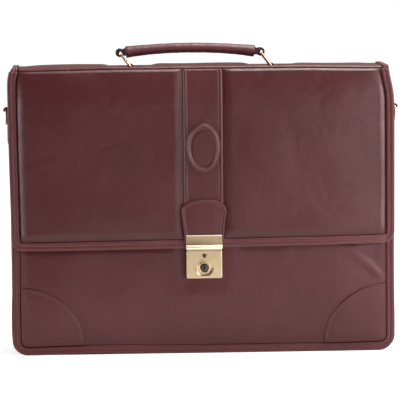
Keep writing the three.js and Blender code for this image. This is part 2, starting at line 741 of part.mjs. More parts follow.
// A leather loop around an upper bar, with a tongue that reaches the grip's end
function handleLoop(sideSign) {
  const shape = new THREE.Shape();
  const outside = barHole + loopLeather;
  const meet = Math.asin(loopTongue / 2 / outside);
  const tip = 2 * archRadius * Math.sin(gripStart / archRadius / 2) - sewnGap;
  shape.moveTo(tip, -loopTongue / 2);
  shape.lineTo(tip, loopTongue / 2);
  shape.absarc(0, 0, outside, meet, 2 * Math.PI - meet, false);
  shape.holes.push(new THREE.Path().absarc(0, 0, barHole, 0, 2 * Math.PI, true));
  const tilt = archHalf - gripStart / archRadius / 2;
  return acrossDepth(shape, loopWidth)
    .rotateY(-tilt)
    .rotateZ(sideSign < 0 ? 0 : Math.PI);
}

const lowerBarZ = caseHeight - topDip + barHeight;
const lean = (ringLean * Math.PI) / 180;
const handle = new THREE.Group();
handle.position.set(-ringReach * Math.sin(lean), -handleForward, lowerBarZ + ringReach * Math.cos(lean));
group.add(handle);
add("handle_grip", handleGrip(), leatherMaterial, handle);
for (const [side, sideSign] of [
  ["left", -1],
  ["right", 1],
]) {
  const barX = (sideSign * handleSpan) / 2;
  add(`handle_chape_${side}`, handleChape(), leatherMaterial).position.set(barX, -handleForward, lowerBarZ);
  const ring = add(`handle_ring_${side}`, handleRing(), brassMaterial);
  ring.position.set(barX, -handleForward, lowerBarZ);
  ring.rotation.y = -lean;
  add(`handle_loop_${side}`, handleLoop(sideSign), darkLeatherMaterial, handle).position.x = barX;
}

// A strap ring hangs at each end, in a chape whose tail is sewn down the gusset.
const sideHole = sideRingWire / 2 + sideLoopGap;
const sideOutside = sideHole + sideLoopLeather;
const sideBarOut = sewnGap + sideOutside + sideLoopGap;
function sideChape() {
  const shape = new THREE.Shape();
  const seat = sewnGap - sideBarOut;
  const tailFace = seat + sideTailThickness;
  const meet = Math.acos(tailFace / sideOutside);
  shape.moveTo(seat, -sideTailLength);
  shape.lineTo(tailFace, -sideTailLength);
  shape.absarc(0, 0, sideOutside, 2 * Math.PI - meet, 3 * Math.PI, false);
  shape.lineTo(seat, 0);
  shape.holes.push(new THREE.Path().absarc(0, 0, sideHole, 0, 2 * Math.PI, true));
  return acrossDepth(shape, sideChapeWidth);
}

// A D of wire: a straight bar at the top and a half-round bow below it
function sideRing() {
  const half = (sideRingInside + sideRingWire) / 2;
  const bend = sideRingBend;
  const shank = bend + sideRingShank;
  const path = [];
  for (const turn of steps(0, Math.PI / 2, 4)) {
    const [c, s] = [Math.cos(turn), Math.sin(turn)];
    path.push({ u: half - bend + bend * c, v: -bend + bend * s, nu: c, nv: s });
  }
  for (const turn of steps(Math.PI / 2, Math.PI, 4)) {
    const [c, s] = [Math.cos(turn), Math.sin(turn)];
    path.push({ u: -half + bend + bend * c, v: -bend + bend * s, nu: c, nv: s });
  }
  for (const turn of steps(Math.PI, 2 * Math.PI, 14).slice(1, -1)) {
    const [c, s] = [Math.cos(turn), Math.sin(turn)];
    path.push({ u: half * c, v: -shank + (sideRingReach - shank) * s, nu: c, nv: s });
  }
  return strip(path, roundSection(sideRingWire / 2, 0, 0), (u, v, h) => new THREE.Vector3(h, u, v), true);
}

const sideRingZ = caseHeight - sideRingDrop;
for (const [side, sideSign] of [
  ["left", -1],
  ["right", 1],
]) {
  const barX = sideSign * (gussetRim.half + gussetPuff + sideBarOut);
  const chape = add(`side_chape_${side}`, sideChape(), leatherMaterial);
  chape.position.set(barX, 0, sideRingZ);
  chape.rotation.z = sideSign > 0 ? 0 : Math.PI;
  add(`side_ring_${side}`, sideRing(), brassMaterial).position.set(barX, 0, sideRingZ);
}

export default group;
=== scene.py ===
import json
import math

import bmesh
import bpy
import numpy as np
from mathutils import Matrix, Vector


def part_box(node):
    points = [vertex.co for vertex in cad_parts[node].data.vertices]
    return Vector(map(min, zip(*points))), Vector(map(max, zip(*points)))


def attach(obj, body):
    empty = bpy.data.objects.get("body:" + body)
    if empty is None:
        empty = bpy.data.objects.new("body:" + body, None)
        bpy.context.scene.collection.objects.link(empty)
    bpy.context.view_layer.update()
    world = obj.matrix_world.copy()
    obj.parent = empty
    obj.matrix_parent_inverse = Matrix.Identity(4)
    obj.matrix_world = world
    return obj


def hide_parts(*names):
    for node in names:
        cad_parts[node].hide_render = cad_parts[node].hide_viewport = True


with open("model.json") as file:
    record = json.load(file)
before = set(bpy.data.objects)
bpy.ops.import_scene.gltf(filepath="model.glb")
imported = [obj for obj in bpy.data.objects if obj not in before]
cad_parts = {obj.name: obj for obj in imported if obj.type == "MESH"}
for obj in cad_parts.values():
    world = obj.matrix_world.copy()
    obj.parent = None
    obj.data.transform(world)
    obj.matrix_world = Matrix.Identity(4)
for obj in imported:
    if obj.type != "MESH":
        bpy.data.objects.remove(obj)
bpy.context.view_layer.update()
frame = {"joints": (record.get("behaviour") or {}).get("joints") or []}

mm = 0.001

# What the frame says about the case, in metres
bag = {
    "half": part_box("front_binding")[1].x,  # half its width over the bindings
    "front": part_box("front_binding")[0].y,  # face of the front binding
    "low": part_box("front_binding")[0].z,  # lowest point of the bindings
    "panelHalf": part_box("front_panel")[1].x,
    "panelLow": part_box("front_panel")[0].z,
    "panelTop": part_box("front_panel")[1].z,
    "flapLow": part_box("flap_binding")[0].z,
    "flapTop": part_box("flap_panel")[1].z,
    "flapInside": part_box("flap_panel")[1].y,
    "gussetHalf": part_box("gusset")[1].y,
    "gussetSide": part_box("gusset")[1].x,
    "gussetTop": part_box("gusset")[1].z,
    "backLow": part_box("back_and_top")[0].z,
    "backHalf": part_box("back_and_top")[1].x,
    "seamY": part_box("back_and_top")[0].y,
}

# What a user would change about the leather bag as a whole
leatherwork = {
    "wall": 2 * mm,
    "seatGap": 0.3 * mm,  # between two pieces sewn onto each other
    "cornerRadius": 16 * mm,
    "flapCornerRadius": 12 * mm,
    "bandWidth": 8.9 * mm,  # a binding, over both of its ridges
    "bandThickness": 4 * mm,
    "bandRidge": 1.1 * mm,  # how deep its seams lie
    "bandGroove": 0.56,  # share of its width to the stitched groove
    "seamDrop": 0.8 * mm,
    "frontPuff": 6 * mm,
    "edgeRoll": 1.5 * mm,
    "rollReach": 10 * mm,
    "puffReach": 60 * mm,
    "foldReach": 40 * mm,
    "flapPuff": 2.5 * mm,
    "strapWidth": 42 * mm,
    "strapThickness": 1.6 * mm,
    "channel": 0.8 * mm,
    "height": 308 * mm,
    "rearBend": 12 * mm,
    "frontBend": 2.5 * mm,
    "backStep": 4.3 * mm,  # from the gusset's edge to the back binding's face
    "backPuff": 3 * mm,
    "topCrown": 2.3 * mm,
    "crownSettling": 1.0 * mm,  # how much lower the crown lies right of the handle
    "topDip": 4.5 * mm,
    "topDipReach": 22 * mm,
    "handleSpan": 151 * mm,
    "chapeHalf": 11 * mm,
    "topEndReach": 30 * mm,
    "topWave": 0.2 * mm,
    "topWaveLength": 13 * mm,
}

# Soft waves in the leather, in mm: height, length across, length upwards, sway and the sway's length
endless = math.inf
waves = {
    "front": ((0.5, 31, endless, 0.8, 38), (0.35, 60, 17, 0, 1), (0.15, 12, -16, 0, 1)),
    "flap": ((0.55, 26, endless, 0.9, 45), (0.35, -50, 23, 0, 1), (0.2, 11, 15, 0, 1)),
    "back": ((0.3, 33, endless, 1, 40), (0.2, 70, 21, 0, 1)),
}


def rise(distance, reach):
    return np.sin(np.clip(distance / reach, 0, 1) * math.pi / 2)


def hump(distance, reach):  # 1 at 0, 0 from reach on, smooth
    t = np.clip(np.abs(distance) / reach, 0, 1)
    return (1 - t * t) ** 2


def ramp(value, low, high):  # 0 to 1, smooth
    t = np.clip((value - low) / (high - low), 0, 1)
    return t * t * (3 - 2 * t)


def wavy(x, z, rows):
    total = 0
    for height, across, upwards, sway, swayLength in rows:
        swayed = sway * np.sin(z / (swayLength * mm))
        total = total + height * mm * np.sin(x / (across * mm) + z / (upwards * mm) + swayed)
    return total


def around(count):  # the angles of one turn
    return np.linspace(0, 2 * math.pi, count + 1)[:-1]


def arcPoints(radius, turns):
    return [(radius * math.cos(t), radius * math.sin(t)) for t in turns]


def stack(x, y, z):
    return np.stack(np.broadcast_arrays(x, y, z), axis=-1)


# Mesh helpers

def linked(name, data):
    piece = bpy.data.objects.new(name, data)
    bpy.context.scene.collection.objects.link(piece)
    return piece


def makeMesh(name, points, faces):
    mesh = bpy.data.meshes.new(name)
    mesh.from_pydata(np.asarray(points, float).reshape(-1, 3).tolist(), [], faces)
    mesh.validate()
    piece = linked(name, mesh)
    smooth(piece)
    mesh.update()
    return piece


def outwards(piece):  # turns all faces of a closed mesh outwards by its volume
    mesh = piece.data
    mesh.calc_loop_triangles()
    co = np.empty(len(mesh.vertices) * 3)
    mesh.vertices.foreach_get("co", co)
    co = co.reshape(-1, 3)
    tri = np.empty(len(mesh.loop_triangles) * 3, int)
    mesh.loop_triangles.foreach_get("vertices", tri)
    a, b, c = co[tri.reshape(-1, 3)].transpose(1, 0, 2)
    if np.einsum("ij,ij->", a, np.cross(b, c)) < 0:
        mesh.flip_normals()
    return piece


def shell(name, outer, inner):  # a leather wall between two grids of points
    rows, columns = outer.shape[:2]
    index = np.arange(rows * columns).reshape(rows, columns)
    inside = index + rows * columns
    quads = []

    def patchwork(grid, flip):
        a, b, c, d = grid[:-1, :-1], grid[:-1, 1:], grid[1:, 1:], grid[1:, :-1]
        order = (a, b, c, d) if not flip else (a, d, c, b)
        quads.extend(np.stack([k.ravel() for k in order], 1).tolist())

    patchwork(index, False)
    patchwork(inside, True)
    for line, mate in (
        (index[0], inside[0]),
        (index[-1][::-1], inside[-1][::-1]),
        (index[::-1, 0], inside[::-1, 0]),
        (index[:, -1], inside[:, -1]),
    ):
        quads.extend([[line[k + 1], line[k], mate[k], mate[k + 1]] for k in range(len(line) - 1)])
    points = np.concatenate([outer.reshape(-1, 3), inner.reshape(-1, 3)])
    return outwards(makeMesh(name, points, [[int(k) for k in quad] for quad in quads]))


def sweep(name, rings, closed=False):  # rings: stations x section points x 3
    stations, count = rings.shape[:2]
    faces = []
    for k in range(stations if closed else stations - 1):
        here, after = k * count, ((k + 1) % stations) * count
        for j in range(count):
            nextJ = (j + 1) % count
            faces.append([here + j, here + nextJ, after + nextJ, after + j])
    if not closed:
        faces.append(list(range(count))[::-1])
        faces.append([(stations - 1) * count + j for j in range(count)])
    return outwards(makeMesh(name, rings, faces))


def plainMesh(piece):  # applies what modifiers or curves make
    graph = bpy.context.evaluated_depsgraph_get()
    mesh = bpy.data.meshes.new_from_object(piece.evaluated_get(graph))
    name = piece.name
    bpy.data.objects.remove(piece)
    return linked(name, mesh)


# Stands a flat outline up, with its width along Y
upright = Matrix(((1, 0, 0, 0), (0, 0, -1, 0), (0, 1, 0, 0), (0, 0, 0, 1)))


def profileSolid(name, outlines, width, bevel, place):  # a flat outline with holes, given a width
    curve = bpy.data.curves.new(name, "CURVE")
    curve.dimensions = "2D"
    curve.fill_mode = "BOTH"
    curve.extrude = width / 2 - bevel
    curve.bevel_depth = bevel
    curve.bevel_resolution = 3
    curve.offset = -bevel
    for outline in outlines:
        spline = curve.splines.new("POLY")
        spline.points.add(len(outline) - 1)
        for point, (u, v) in zip(spline.points, outline):
            point.co = (u, v, 0, 1)
        spline.use_cyclic_u = True
    solid = plainMesh(linked(name, curve))
    solid.data.transform(place)
    mergeDoubles(solid)
    return outwards(solid)


def mergeDoubles(piece):
    work = bmesh.new()
    work.from_mesh(piece.data)
    bmesh.ops.remove_doubles(work, verts=work.verts, dist=0.01 * mm)
    bmesh.ops.recalc_face_normals(work, faces=work.faces)
    work.to_mesh(piece.data)
    work.free()
    return piece


def smooth(piece):
    piece.data.polygons.foreach_set("use_smooth", [True] * len(piece.data.polygons))


def smoothByAngle(piece, degrees=35):
    smooth(piece)
    piece.data.set_sharp_from_angle(angle=math.radians(degrees))
    return piece


def carve(piece, cutters):
    for cutter in cutters:
        cut = piece.modifiers.new(cutter.name, "BOOLEAN")
        cut.object = cutter
        cut.solver = "EXACT"
    piece = plainMesh(piece)
    for cutter in cutters:
        bpy.data.objects.remove(cutter)
    return piece


def addNode(tree, kind, sockets=None, **settings):  # a socket's value may be another node's output
    node = tree.nodes.new(kind)
    for key, value in settings.items():
        setattr(node, key, value)
    for key, value in (sockets or {}).items():
        if isinstance(value, bpy.types.NodeSocket):
            tree.links.new(value, node.inputs[key])
        else:
            node.inputs[key].default_value = value
    return node


# Materials

class Tree:
    def __init__(self, name):
        self.material = bpy.data.materials.new(name)
        self.material.use_nodes = True
        self.nodes = self.material.node_tree.nodes
        self.links = self.material.node_tree.links
        self.shader = self.nodes["Principled BSDF"]

    def add(self, kind, sockets=None, **settings):
        return addNode(self, kind, sockets, **settings)

    def noise(self, place, scale, detail, **sockets):
        return self.add("ShaderNodeTexNoise", {"Vector": place, "Scale": scale, "Detail": detail, **sockets})

    def spread(self, value, low, high, toLow=0.0, toHigh=1.0):
        return self.add("ShaderNodeMapRange", {
            "Value": value, "From Min": low, "From Max": high, "To Min": toLow, "To Max": toHigh,
        }).outputs[0]

    def mix(self, factor, a, b):
        return self.add("ShaderNodeMix", {0: factor, 6: a, 7: b}, data_type="RGBA").outputs[2]

    def feed(self, **sockets):  # into the shader
        for key, value in sockets.items():
            socket = self.shader.inputs[key.replace("_", " ")]
            if isinstance(value, bpy.types.NodeSocket):
                self.links.new(value, socket)
            else:
                socket.default_value = value


leatherFinish = {
    "grain": 900,  # cells in a metre
    "grainDepth": 0.03 * mm,
    "pore": 0.12,  # how far a pore's dark line reaches into its cell
    "poreShare": 0.55,
    "fineScale": 2200.0,
    "creaseScale": 150,
    "creaseDepth": 0.16 * mm,
    "cloudScale": 26,  # soft dents, about 40 mm across
    "cloudDepth": 1.3 * mm,
    "toneScale": 9,  # large patches of tone
    "roughness": 0.38,
    "specular": 0.38,
    "worn": (0.2, 0.09, 0.085, 1),  # colour of rubbed edges
}


def leather(name, color, tone, pore, roughness=leatherFinish["roughness"]):
    f = leatherFinish
    tree = Tree(name)
    place = tree.add("ShaderNodeTexCoord").outputs["Object"]
    tones = tree.noise(place, f["toneScale"], 4.0, Roughness=0.55)
    cells = tree.add(
        "ShaderNodeTexVoronoi", {"Vector": place, "Scale": f["grain"]}, feature="DISTANCE_TO_EDGE"
    )
    fine = tree.noise(place, f["fineScale"], 3.0)
    crease = tree.noise(place, f["creaseScale"], 6.0, Roughness=0.6).outputs["Fac"]
    cloud = tree.noise(place, f["cloudScale"], 2.5, Roughness=0.5, Distortion=0.6)
    base = tree.mix(tree.spread(tones.outputs["Fac"], 0.35, 0.65), color, tone)
    base = tree.mix(tree.spread(cells.outputs["Distance"], 0.0, f["pore"], f["poreShare"], 0.0), base, pore)
    wear = tree.add("ShaderNodeAttribute", attribute_name="wear")
    scuff = tree.add("ShaderNodeMath", {0: wear.outputs["Fac"], 1: crease}, operation="MULTIPLY")
    cellHeight = tree.spread(cells.outputs["Distance"], 0.0, 0.3)
    heights = tree.add("ShaderNodeMath", {0: cellHeight, 1: fine.outputs["Fac"]}, operation="ADD")
    reliefs = (
        (cloud.outputs["Fac"], f["cloudDepth"]),
        (crease, f["creaseDepth"]),
        (heights.outputs[0], f["grainDepth"]),
    )
    below = {}
    for height, depth in reliefs:
        bump = tree.add("ShaderNodeBump", {"Height": height, "Strength": 1.0, "Distance": depth, **below})
        below = {"Normal": bump.outputs[0]}
    tree.feed(
        Base_Color=tree.mix(scuff.outputs[0], base, f["worn"]),
        Roughness=tree.spread(crease, 0.3, 0.7, roughness - 0.05, roughness + 0.06),
        Specular_IOR_Level=f["specular"],
        Normal=bump.outputs[0],
    )
    return tree.material


metalFinish = {
    "lines": (40.0, 40.0, 2600.0),  # brushed along the width
    "speckle": (300.0, 300.0, 300.0),
    "patches": 120.0,
    "tarnish": 0.5,  # the most of the tarnish's colour
    "brushDepth": 0.02 * mm,
}


def metal(name, color, tarnish, roughness, brushed=0.0):
    f = metalFinish
    tree = Tree(name)
    place = tree.add("ShaderNodeTexCoord").outputs["Object"]
    scale = f["lines"] if brushed else f["speckle"]
    stretched = tree.add("ShaderNodeMapping", {"Vector": place, "Scale": scale})
    lines = tree.noise(stretched.outputs[0], 1.0, 3.0).outputs["Fac"]
    patches = tree.noise(place, f["patches"], 4.0).outputs["Fac"]
    tree.feed(
        Base_Color=tree.mix(tree.spread(patches, 0.5, 0.75, 0.0, f["tarnish"]), color, tarnish),
        Roughness=tree.spread(lines, 0.3, 0.7, roughness - 0.04, roughness + 0.08),
        Metallic=1.0,
    )
    if brushed:
        bump = tree.add("ShaderNodeBump", {"Height": lines, "Strength": brushed, "Distance": f["brushDepth"]})
        tree.feed(Normal=bump.outputs[0])
    return tree.material


def threadFinish(name, color, dark):
    tree = Tree(name)
    place = tree.add("ShaderNodeTexCoord").outputs["Object"]
    twist = tree.noise(place, 3500.0, 2.0).outputs["Fac"]
    bump = tree.add("ShaderNodeBump", {"Height": twist, "Strength": 0.6, "Distance": 0.05 * mm})
    tree.feed(
        Base_Color=tree.mix(twist, color, dark), Normal=bump.outputs[0], Roughness=0.6, Sheen_Weight=0.2
    )
    return tree.material


darkPore = (0.03, 0.006, 0.007, 1)
oxblood = leather("oxblood_leather", (0.104, 0.02, 0.0215, 1), (0.082, 0.0142, 0.0138, 1), darkPore)
oxbloodFlap = leather(
    "oxblood_flap_leather", (0.089, 0.0172, 0.0187, 1), (0.07, 0.0122, 0.012, 1), (0.027, 0.0055, 0.0065, 1)
)
oxbloodTrim = leather(
    "oxblood_trim_leather", (0.09, 0.0168, 0.0172, 1), (0.071, 0.0125, 0.0125, 1), darkPore, 0.42
)
oxbloodBand = leather("oxblood_binding_leather", (0.13, 0.028, 0.03, 1), (0.1, 0.02, 0.02, 1), darkPore, 0.4)
umberHandle = leather(
    "umber_handle_leather", (0.15, 0.041, 0.043, 1), (0.105, 0.027, 0.027, 1), (0.022, 0.006, 0.006, 1), 0.45
)
umberLoop = leather(
    "umber_loop_leather", (0.062, 0.02, 0.022, 1), (0.045, 0.014, 0.015, 1), (0.015, 0.005, 0.005, 1), 0.45
)
paleBrass = metal("pale_brass", (0.68, 0.52, 0.32, 1), (0.56, 0.41, 0.24, 1), 0.3, 0.2)
# The lip's brass is a lighter copy of the lock's brass, a painted highlight on the rounded lip
lipHighlightBrass = metal("lip_brass_painted_highlight", (1.0, 0.87, 0.66, 1), (0.95, 0.78, 0.55, 1), 0.38)
# The hasp plate's brass is a darker copy of the lock's brass, a painted shade standing in for the dark
# surroundings the sloping plate reflects
haspPlateShadeBrass = metal("brushed_brass_painted_shade", (0.37, 0.265, 0.16, 1), (0.28, 0.2, 0.12, 1), 0.36, 0.3)
ringBrass = metal("ring_brass", (0.92, 0.7, 0.5, 1), (0.7, 0.48, 0.32, 1), 0.24)
bronzedSteel = metal("bronzed_steel", (0.1, 0.075, 0.06, 1), (0.06, 0.045, 0.035, 1), 0.35)
oxbloodThread = threadFinish("oxblood_thread", (0.235, 0.092, 0.092, 1), (0.14, 0.05, 0.05, 1))
print("materials ready")


def dress(piece, material, body="case", replaces=()):
    piece.data.materials.clear()
    piece.data.materials.append(material)
    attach(piece, body)
    if replaces:
        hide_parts(*replaces)
    return piece


def setWear(piece, values):  # edge wear, read by the leather's shader
    layer = piece.data.attributes.new("wear", "FLOAT", "POINT")
    layer.data.foreach_set("value", np.asarray(values, np.float32).ravel())


# Where the leather lies

def outlineHalf(half, low, radius, inset, z):  # half the width of a rim's outline at height z
    below = np.clip(low + radius - z, 0, None)
    inner = radius - inset
    return half - radius + np.where(below > 0, np.sqrt(np.clip(inner**2 - below**2, 0, None)), inner)


shoulders = {
    "right": 6 * mm,  # how far the upper corners are drawn in
    "rightReach": 55 * mm,
    "rightFrom": 100 * mm,  # distance from the middle of the case
    "left": 3 * mm,
    "leftReach": 22 * mm,
    "leftFrom": 150 * mm,
    "lean": 2 * mm,  # how far the front's left edge stands out towards the top
    "leanHeights": (110 * mm, 280 * mm),
    "leanFrom": 120 * mm,
}


def drawnIn(x, z):
    s = shoulders
    top = leatherwork["height"] + 2 * mm
    right = s["right"] * ramp(z, top - s["rightReach"], top) ** 2 * ramp(x, s["rightFrom"], bag["half"])
    left = s["left"] * ramp(z, top - s["leftReach"], top) ** 2 * ramp(-x, s["leftFrom"], bag["half"])
    return x - right + left


def leaned(x, z):
    s = shoulders
    return drawnIn(x, z) - s["lean"] * ramp(z, *s["leanHeights"]) * ramp(-x, s["leanFrom"], bag["half"])


def frontBulge(x, z):
    w = leatherwork
    side, below, above = bag["panelHalf"] - np.abs(x), z - bag["panelLow"], bag["panelTop"] - z
    roll = rise(side, w["rollReach"]) * rise(below, w["rollReach"]) * rise(above, w["rollReach"])
    puff = rise(side, w["puffReach"]) * rise(below, w["puffReach"]) * rise(above, w["puffReach"])
    return w["edgeRoll"] * roll + w["frontPuff"] * puff


frontDents = {
    "lockHollow": 1.6 * mm,  # the lock presses the leather in
    "lockHalf": 16 * mm,  # half the width and the height of its flat middle
    "lockTall": 18 * mm,
    "lockDrop": 14 * mm,  # its middle below the flap's edge
    "lockReach": 15 * mm,
    "creaseStart": (154 * mm, 112 * mm),  # a crease from under the flap to the right binding
    "creaseEnd": (200 * mm, 74 * mm),
    "creaseRidge": 2.6 * mm,
    "creaseWidth": 6 * mm,
    "creaseFade": 15 * mm,  # before the binding
    "creaseSink": 2.6 * mm,  # the leather above the crease lies lower, by this over this reach
    "sinkReach": 9 * mm,
    "sinkEnd": (16 * mm, 40 * mm),
    "flapHollow": 2.3 * mm,  # a hollow along the flap's lower edge, beside the lock
    "flapHollowReach": 4 * mm,
    "flapHollowLift": 1.4 * mm,
    "flapHollowEnd": (28 * mm, 40 * mm),
    "flapHollowFade": 10 * mm,
    "edgeReach": 25 * mm,  # from a seam to the full waves
    "baseWaves": ((1.3 * mm, -105 * mm, 85 * mm), (1.1 * mm, 205 * mm, 60 * mm)),  # height, place and reach
    "baseRise": (5 * mm, 70 * mm),  # heights where these waves fade out
}


def frontRelief(x, z):  # dents and waves on top of the front panel's bulge
    d = frontDents
    fromSide = bag["panelHalf"] - np.abs(x)
    besideLock = np.maximum(np.abs(x) - d["lockHalf"], 0)
    aboveLock = np.maximum(np.abs(z - bag["flapLow"] + d["lockDrop"]) - d["lockTall"], 0)
    relief = -d["lockHollow"] * hump(np.hypot(besideLock, aboveLock * 0.7), d["lockReach"])

    start, end = np.array(d["creaseStart"]), np.array(d["creaseEnd"])
    length = np.linalg.norm(end - start)
    along = (end - start) / length
    t = ((x - start[0]) * along[0] + (z - start[1]) * along[1]) / length
    across = (x - start[0]) * -along[1] + (z - start[1]) * along[0]
    strength = ramp(t, -0.3, 0.75) * ramp(bag["panelHalf"] - x, 0, d["creaseFade"])
    sink = ramp(across, 0, d["sinkReach"]) * (1 - ramp(across, *d["sinkEnd"]))
    relief = relief + strength * (d["creaseRidge"] * hump(across, d["creaseWidth"]) - d["creaseSink"] * sink)

    skew = np.where(x < 0, flapDents["skewLeft"], flapDents["skewRight"]) * x / bag["half"]
    underEdge = hump(z - bag["flapLow"] - skew - d["flapHollowLift"], d["flapHollowReach"])
    underEdge = underEdge * ramp(np.abs(x), *d["flapHollowEnd"]) * ramp(fromSide, 0, d["flapHollowFade"])
    relief = relief - d["flapHollow"] * underEdge
    inside = rise(fromSide, d["edgeReach"]) * rise(z - bag["panelLow"], d["edgeReach"])
    return relief + wavy(x, z, waves["front"]) * inside


def frontHeight(x, z):
    return frontBulge(x, z) + frontRelief(x, z) - leatherwork["seamDrop"]


def frontPlace(x, z, h):
    lift = sum(height * hump(x - middle, reach) for height, middle, reach in frontDents["baseWaves"])
    return stack(leaned(x, z), bag["front"] - h, z + lift * (1 - ramp(z, *frontDents["baseRise"])))


def flapBulge(x, z):
    w = leatherwork
    side = bag["panelHalf"] - np.abs(x)
    bulge = w["edgeRoll"] * rise(side, w["rollReach"]) + w["frontPuff"] * rise(side, w["puffReach"])
    return bulge * rise(bag["flapTop"] - z, w["foldReach"])


flapDents = {
    "skewLeft": 2.0 * mm,  # the flap's edge hangs lower at the left and higher at the right
    "skewRight": 2.4 * mm,
    "skewEnd": 30 * mm,  # below the seam
    "topArch": 1.4 * mm,  # its seam lies lower towards both ends
    "archFrom": 0.45,  # share of half the width
    "archReach": 60 * mm,
    "seamReach": 3 * mm,  # from the seam to the full swell and to the full waves
    "seamWaves": 12 * mm,
    "edgeReach": 30 * mm,  # from a seam to the full waves
}


def archedEnds(x):  # how much lower the seam lies there
    return flapDents["topArch"] * ramp(np.abs(x) / bag["half"], flapDents["archFrom"], 1)


def flapPlace(x, z, h):
    d = flapDents
    down = 1 - ramp(z, bag["flapLow"], bag["flapTop"] - d["skewEnd"])
    shareX = x / bag["half"]
    shift = down * np.where(x < 0, d["skewLeft"] * shareX, d["skewRight"] * shareX)
    arch = archedEnds(x) * ramp(z, bag["flapTop"] - d["archReach"], bag["flapTop"])
    return stack(leaned(x, z), bag["flapInside"] - flapBulge(x, z) - h, z + shift - arch)


def fieldSwell(x, z):
    w = leatherwork
    side = bag["panelHalf"] - np.abs(x)
    channel = np.abs(x) - w["strapWidth"] / 2 - w["channel"]
    below = z - bag["flapLow"] - (bag["half"] - bag["panelHalf"])
    above = bag["flapTop"] - z

    def inside(reach, seamReach):
        return rise(side, reach) * rise(channel, reach) * rise(below, reach) * rise(above, seamReach)

    d = flapDents
    swell = w["flapPuff"] * inside(w["rollReach"], d["seamReach"])
    return swell + wavy(x, z, waves["flap"]) * inside(d["edgeReach"], d["seamWaves"])


# The panels

def rimPath(half, low, radius, heights):  # down the left side, round the corners and up the right
    centreU, centreV = half - radius, low + radius
    side = [v for v in heights if v > centreV + 1 * mm]
    path = [(-half, v, 1, 0) for v in side]
    corner = np.linspace(0, math.pi / 2, 15)
    bend = [(math.cos(t), math.sin(t)) for t in corner]
    path += [(-centreU - radius * c, centreV - radius * s, c, s) for c, s in bend]
    path += [(u, low, 0, 1) for u in np.linspace(-centreU, centreU, 122)[1:-1]]
    path += [(centreU + radius * c, centreV - radius * s, -c, s) for c, s in bend[::-1]]
    path += [(half, v, -1, 0) for v in side[::-1]]
    return np.array(path)


binding = {
    "groove": (0.6 * mm, 1.6 * mm),  # half the width of the groove's floor and of all of it
    "grooveFloor": 0.4,  # share of the ridges' height left there
    "wobble": ((0.02, 3.1), (0.015, 7.7)),  # share of its height and stations along its path
    "wear": 0.8,
    "wearReach": 1.6 * mm,
    "points": 25,  # across its width
}


def bandSection(low, high):  # two ridges with a stitched groove between them
    w, b = leatherwork, binding
    across = np.linspace(0, w["bandWidth"], b["points"])
    split = w["bandGroove"] * w["bandWidth"]
    lobe = np.where(across < split, across / split, (across - split) / (w["bandWidth"] - split))
    ridges = np.sin(math.pi * lobe) ** 0.5
    floor = b["grooveFloor"] * (1 - ramp(np.abs(across - split), *b["groove"]))
    ridges = np.maximum(ridges, floor)
    top = high - w["bandRidge"] * (1 - ridges)
    edge = high - w["bandRidge"]
    outer = [(0.25 * mm, low), (0, low + 0.5 * mm), (0, 0.5 * (low + edge))]
    inner = [(w["bandWidth"], 0.5 * (low + edge)), (w["bandWidth"], low)]
    return np.array(outer + list(zip(across, top)) + inner)


def band(name, path, section, place, bulge=None):
    u, v, nu, nv = path.T
    across, h = section.T
    station = np.arange(len(path))
    wobble = 1 + sum(share * np.sin(station / length) for share, length in binding["wobble"])
    out = (np.zeros(len(path)) if bulge is None else bulge(u, v))[:, None]
    share = 1 - across[None, :] / leatherwork["bandWidth"]
    shift = across[None, :] - out * share
    moved = [line[:, None] + shift * way[:, None] for line, way in ((u, nu), (v, nv))]
    piece = sweep(name, place(*moved, h[None, :] * wobble[:, None]))
    worn = np.clip(1 - across / binding["wearReach"], 0, 1) * binding["wear"]
    setWear(piece, np.tile(worn, len(path)))
    return piece


stitchRows = {}  # lines of stitches by body


def stitchLine(points, normal=(0, -1, 0), body="case"):
    points = np.asarray(points, float).reshape(-1, 3)
    normals = np.broadcast_to(np.asarray(normal, float), points.shape)
    stitchRows.setdefault(body, []).append((points, normals))


def bandStitches(path, height, place):
    u, v, nu, nv = path.T
    middle = leatherwork["bandWidth"] * leatherwork["bandGroove"]
    stitchLine(place(u + middle * nu, v + middle * nv, np.full(len(u), height)))


def closeTo(edges, steps):  # stations packed towards both ends, 0 to 1
    t = np.linspace(0, 1, steps)
    return t - edges * np.sin(2 * math.pi * t) / (2 * math.pi)


edgeSwell = {
    "left": 1.3 * mm,
    "leftHeight": 38 * mm,
    "leftReach": 40 * mm,
    "right": 0.6 * mm,
    "rightHeight": 30 * mm,
    "rightReach": 60 * mm,
    "from": 190 * mm,  # distance from the middle of the case
}


def frontEdgeSwell(u, v):  # the bound edge stands out at both lower corners
    s = edgeSwell
    left = s["left"] * hump(v - s["leftHeight"], s["leftReach"]) * (u < -s["from"])
    return left + s["right"] * hump(v - s["rightHeight"], s["rightReach"]) * (u > s["from"])


def makeFront():
    w = leatherwork
    inset = bag["half"] - bag["panelHalf"]
    z = bag["panelLow"] + (bag["panelTop"] - bag["panelLow"]) * closeTo(0.75, 130)
    share = closeTo(0.75, 190) * 2 - 1
    half = outlineHalf(bag["half"], bag["low"], w["cornerRadius"], inset, z)
    x = share[None, :] * half[:, None]
    zGrid = np.broadcast_to(z[:, None], x.shape)
    height = frontHeight(x, zGrid)
    piece = shell("front_leather", frontPlace(x, zGrid, height), frontPlace(x, zGrid, height - w["wall"]))
    dress(piece, oxblood, replaces=["front_panel"])
    heights = np.linspace(bag["panelTop"], bag["low"] + w["cornerRadius"], 95)
    path = rimPath(bag["half"], bag["low"], w["cornerRadius"], heights)
    piece = band("front_edge_leather", path, bandSection(-w["bandThickness"], 0), frontPlace, frontEdgeSwell)
    dress(piece, oxbloodBand, replaces=["front_binding", "front_piping"])
    bandStitches(path, -0.5 * mm, frontPlace)


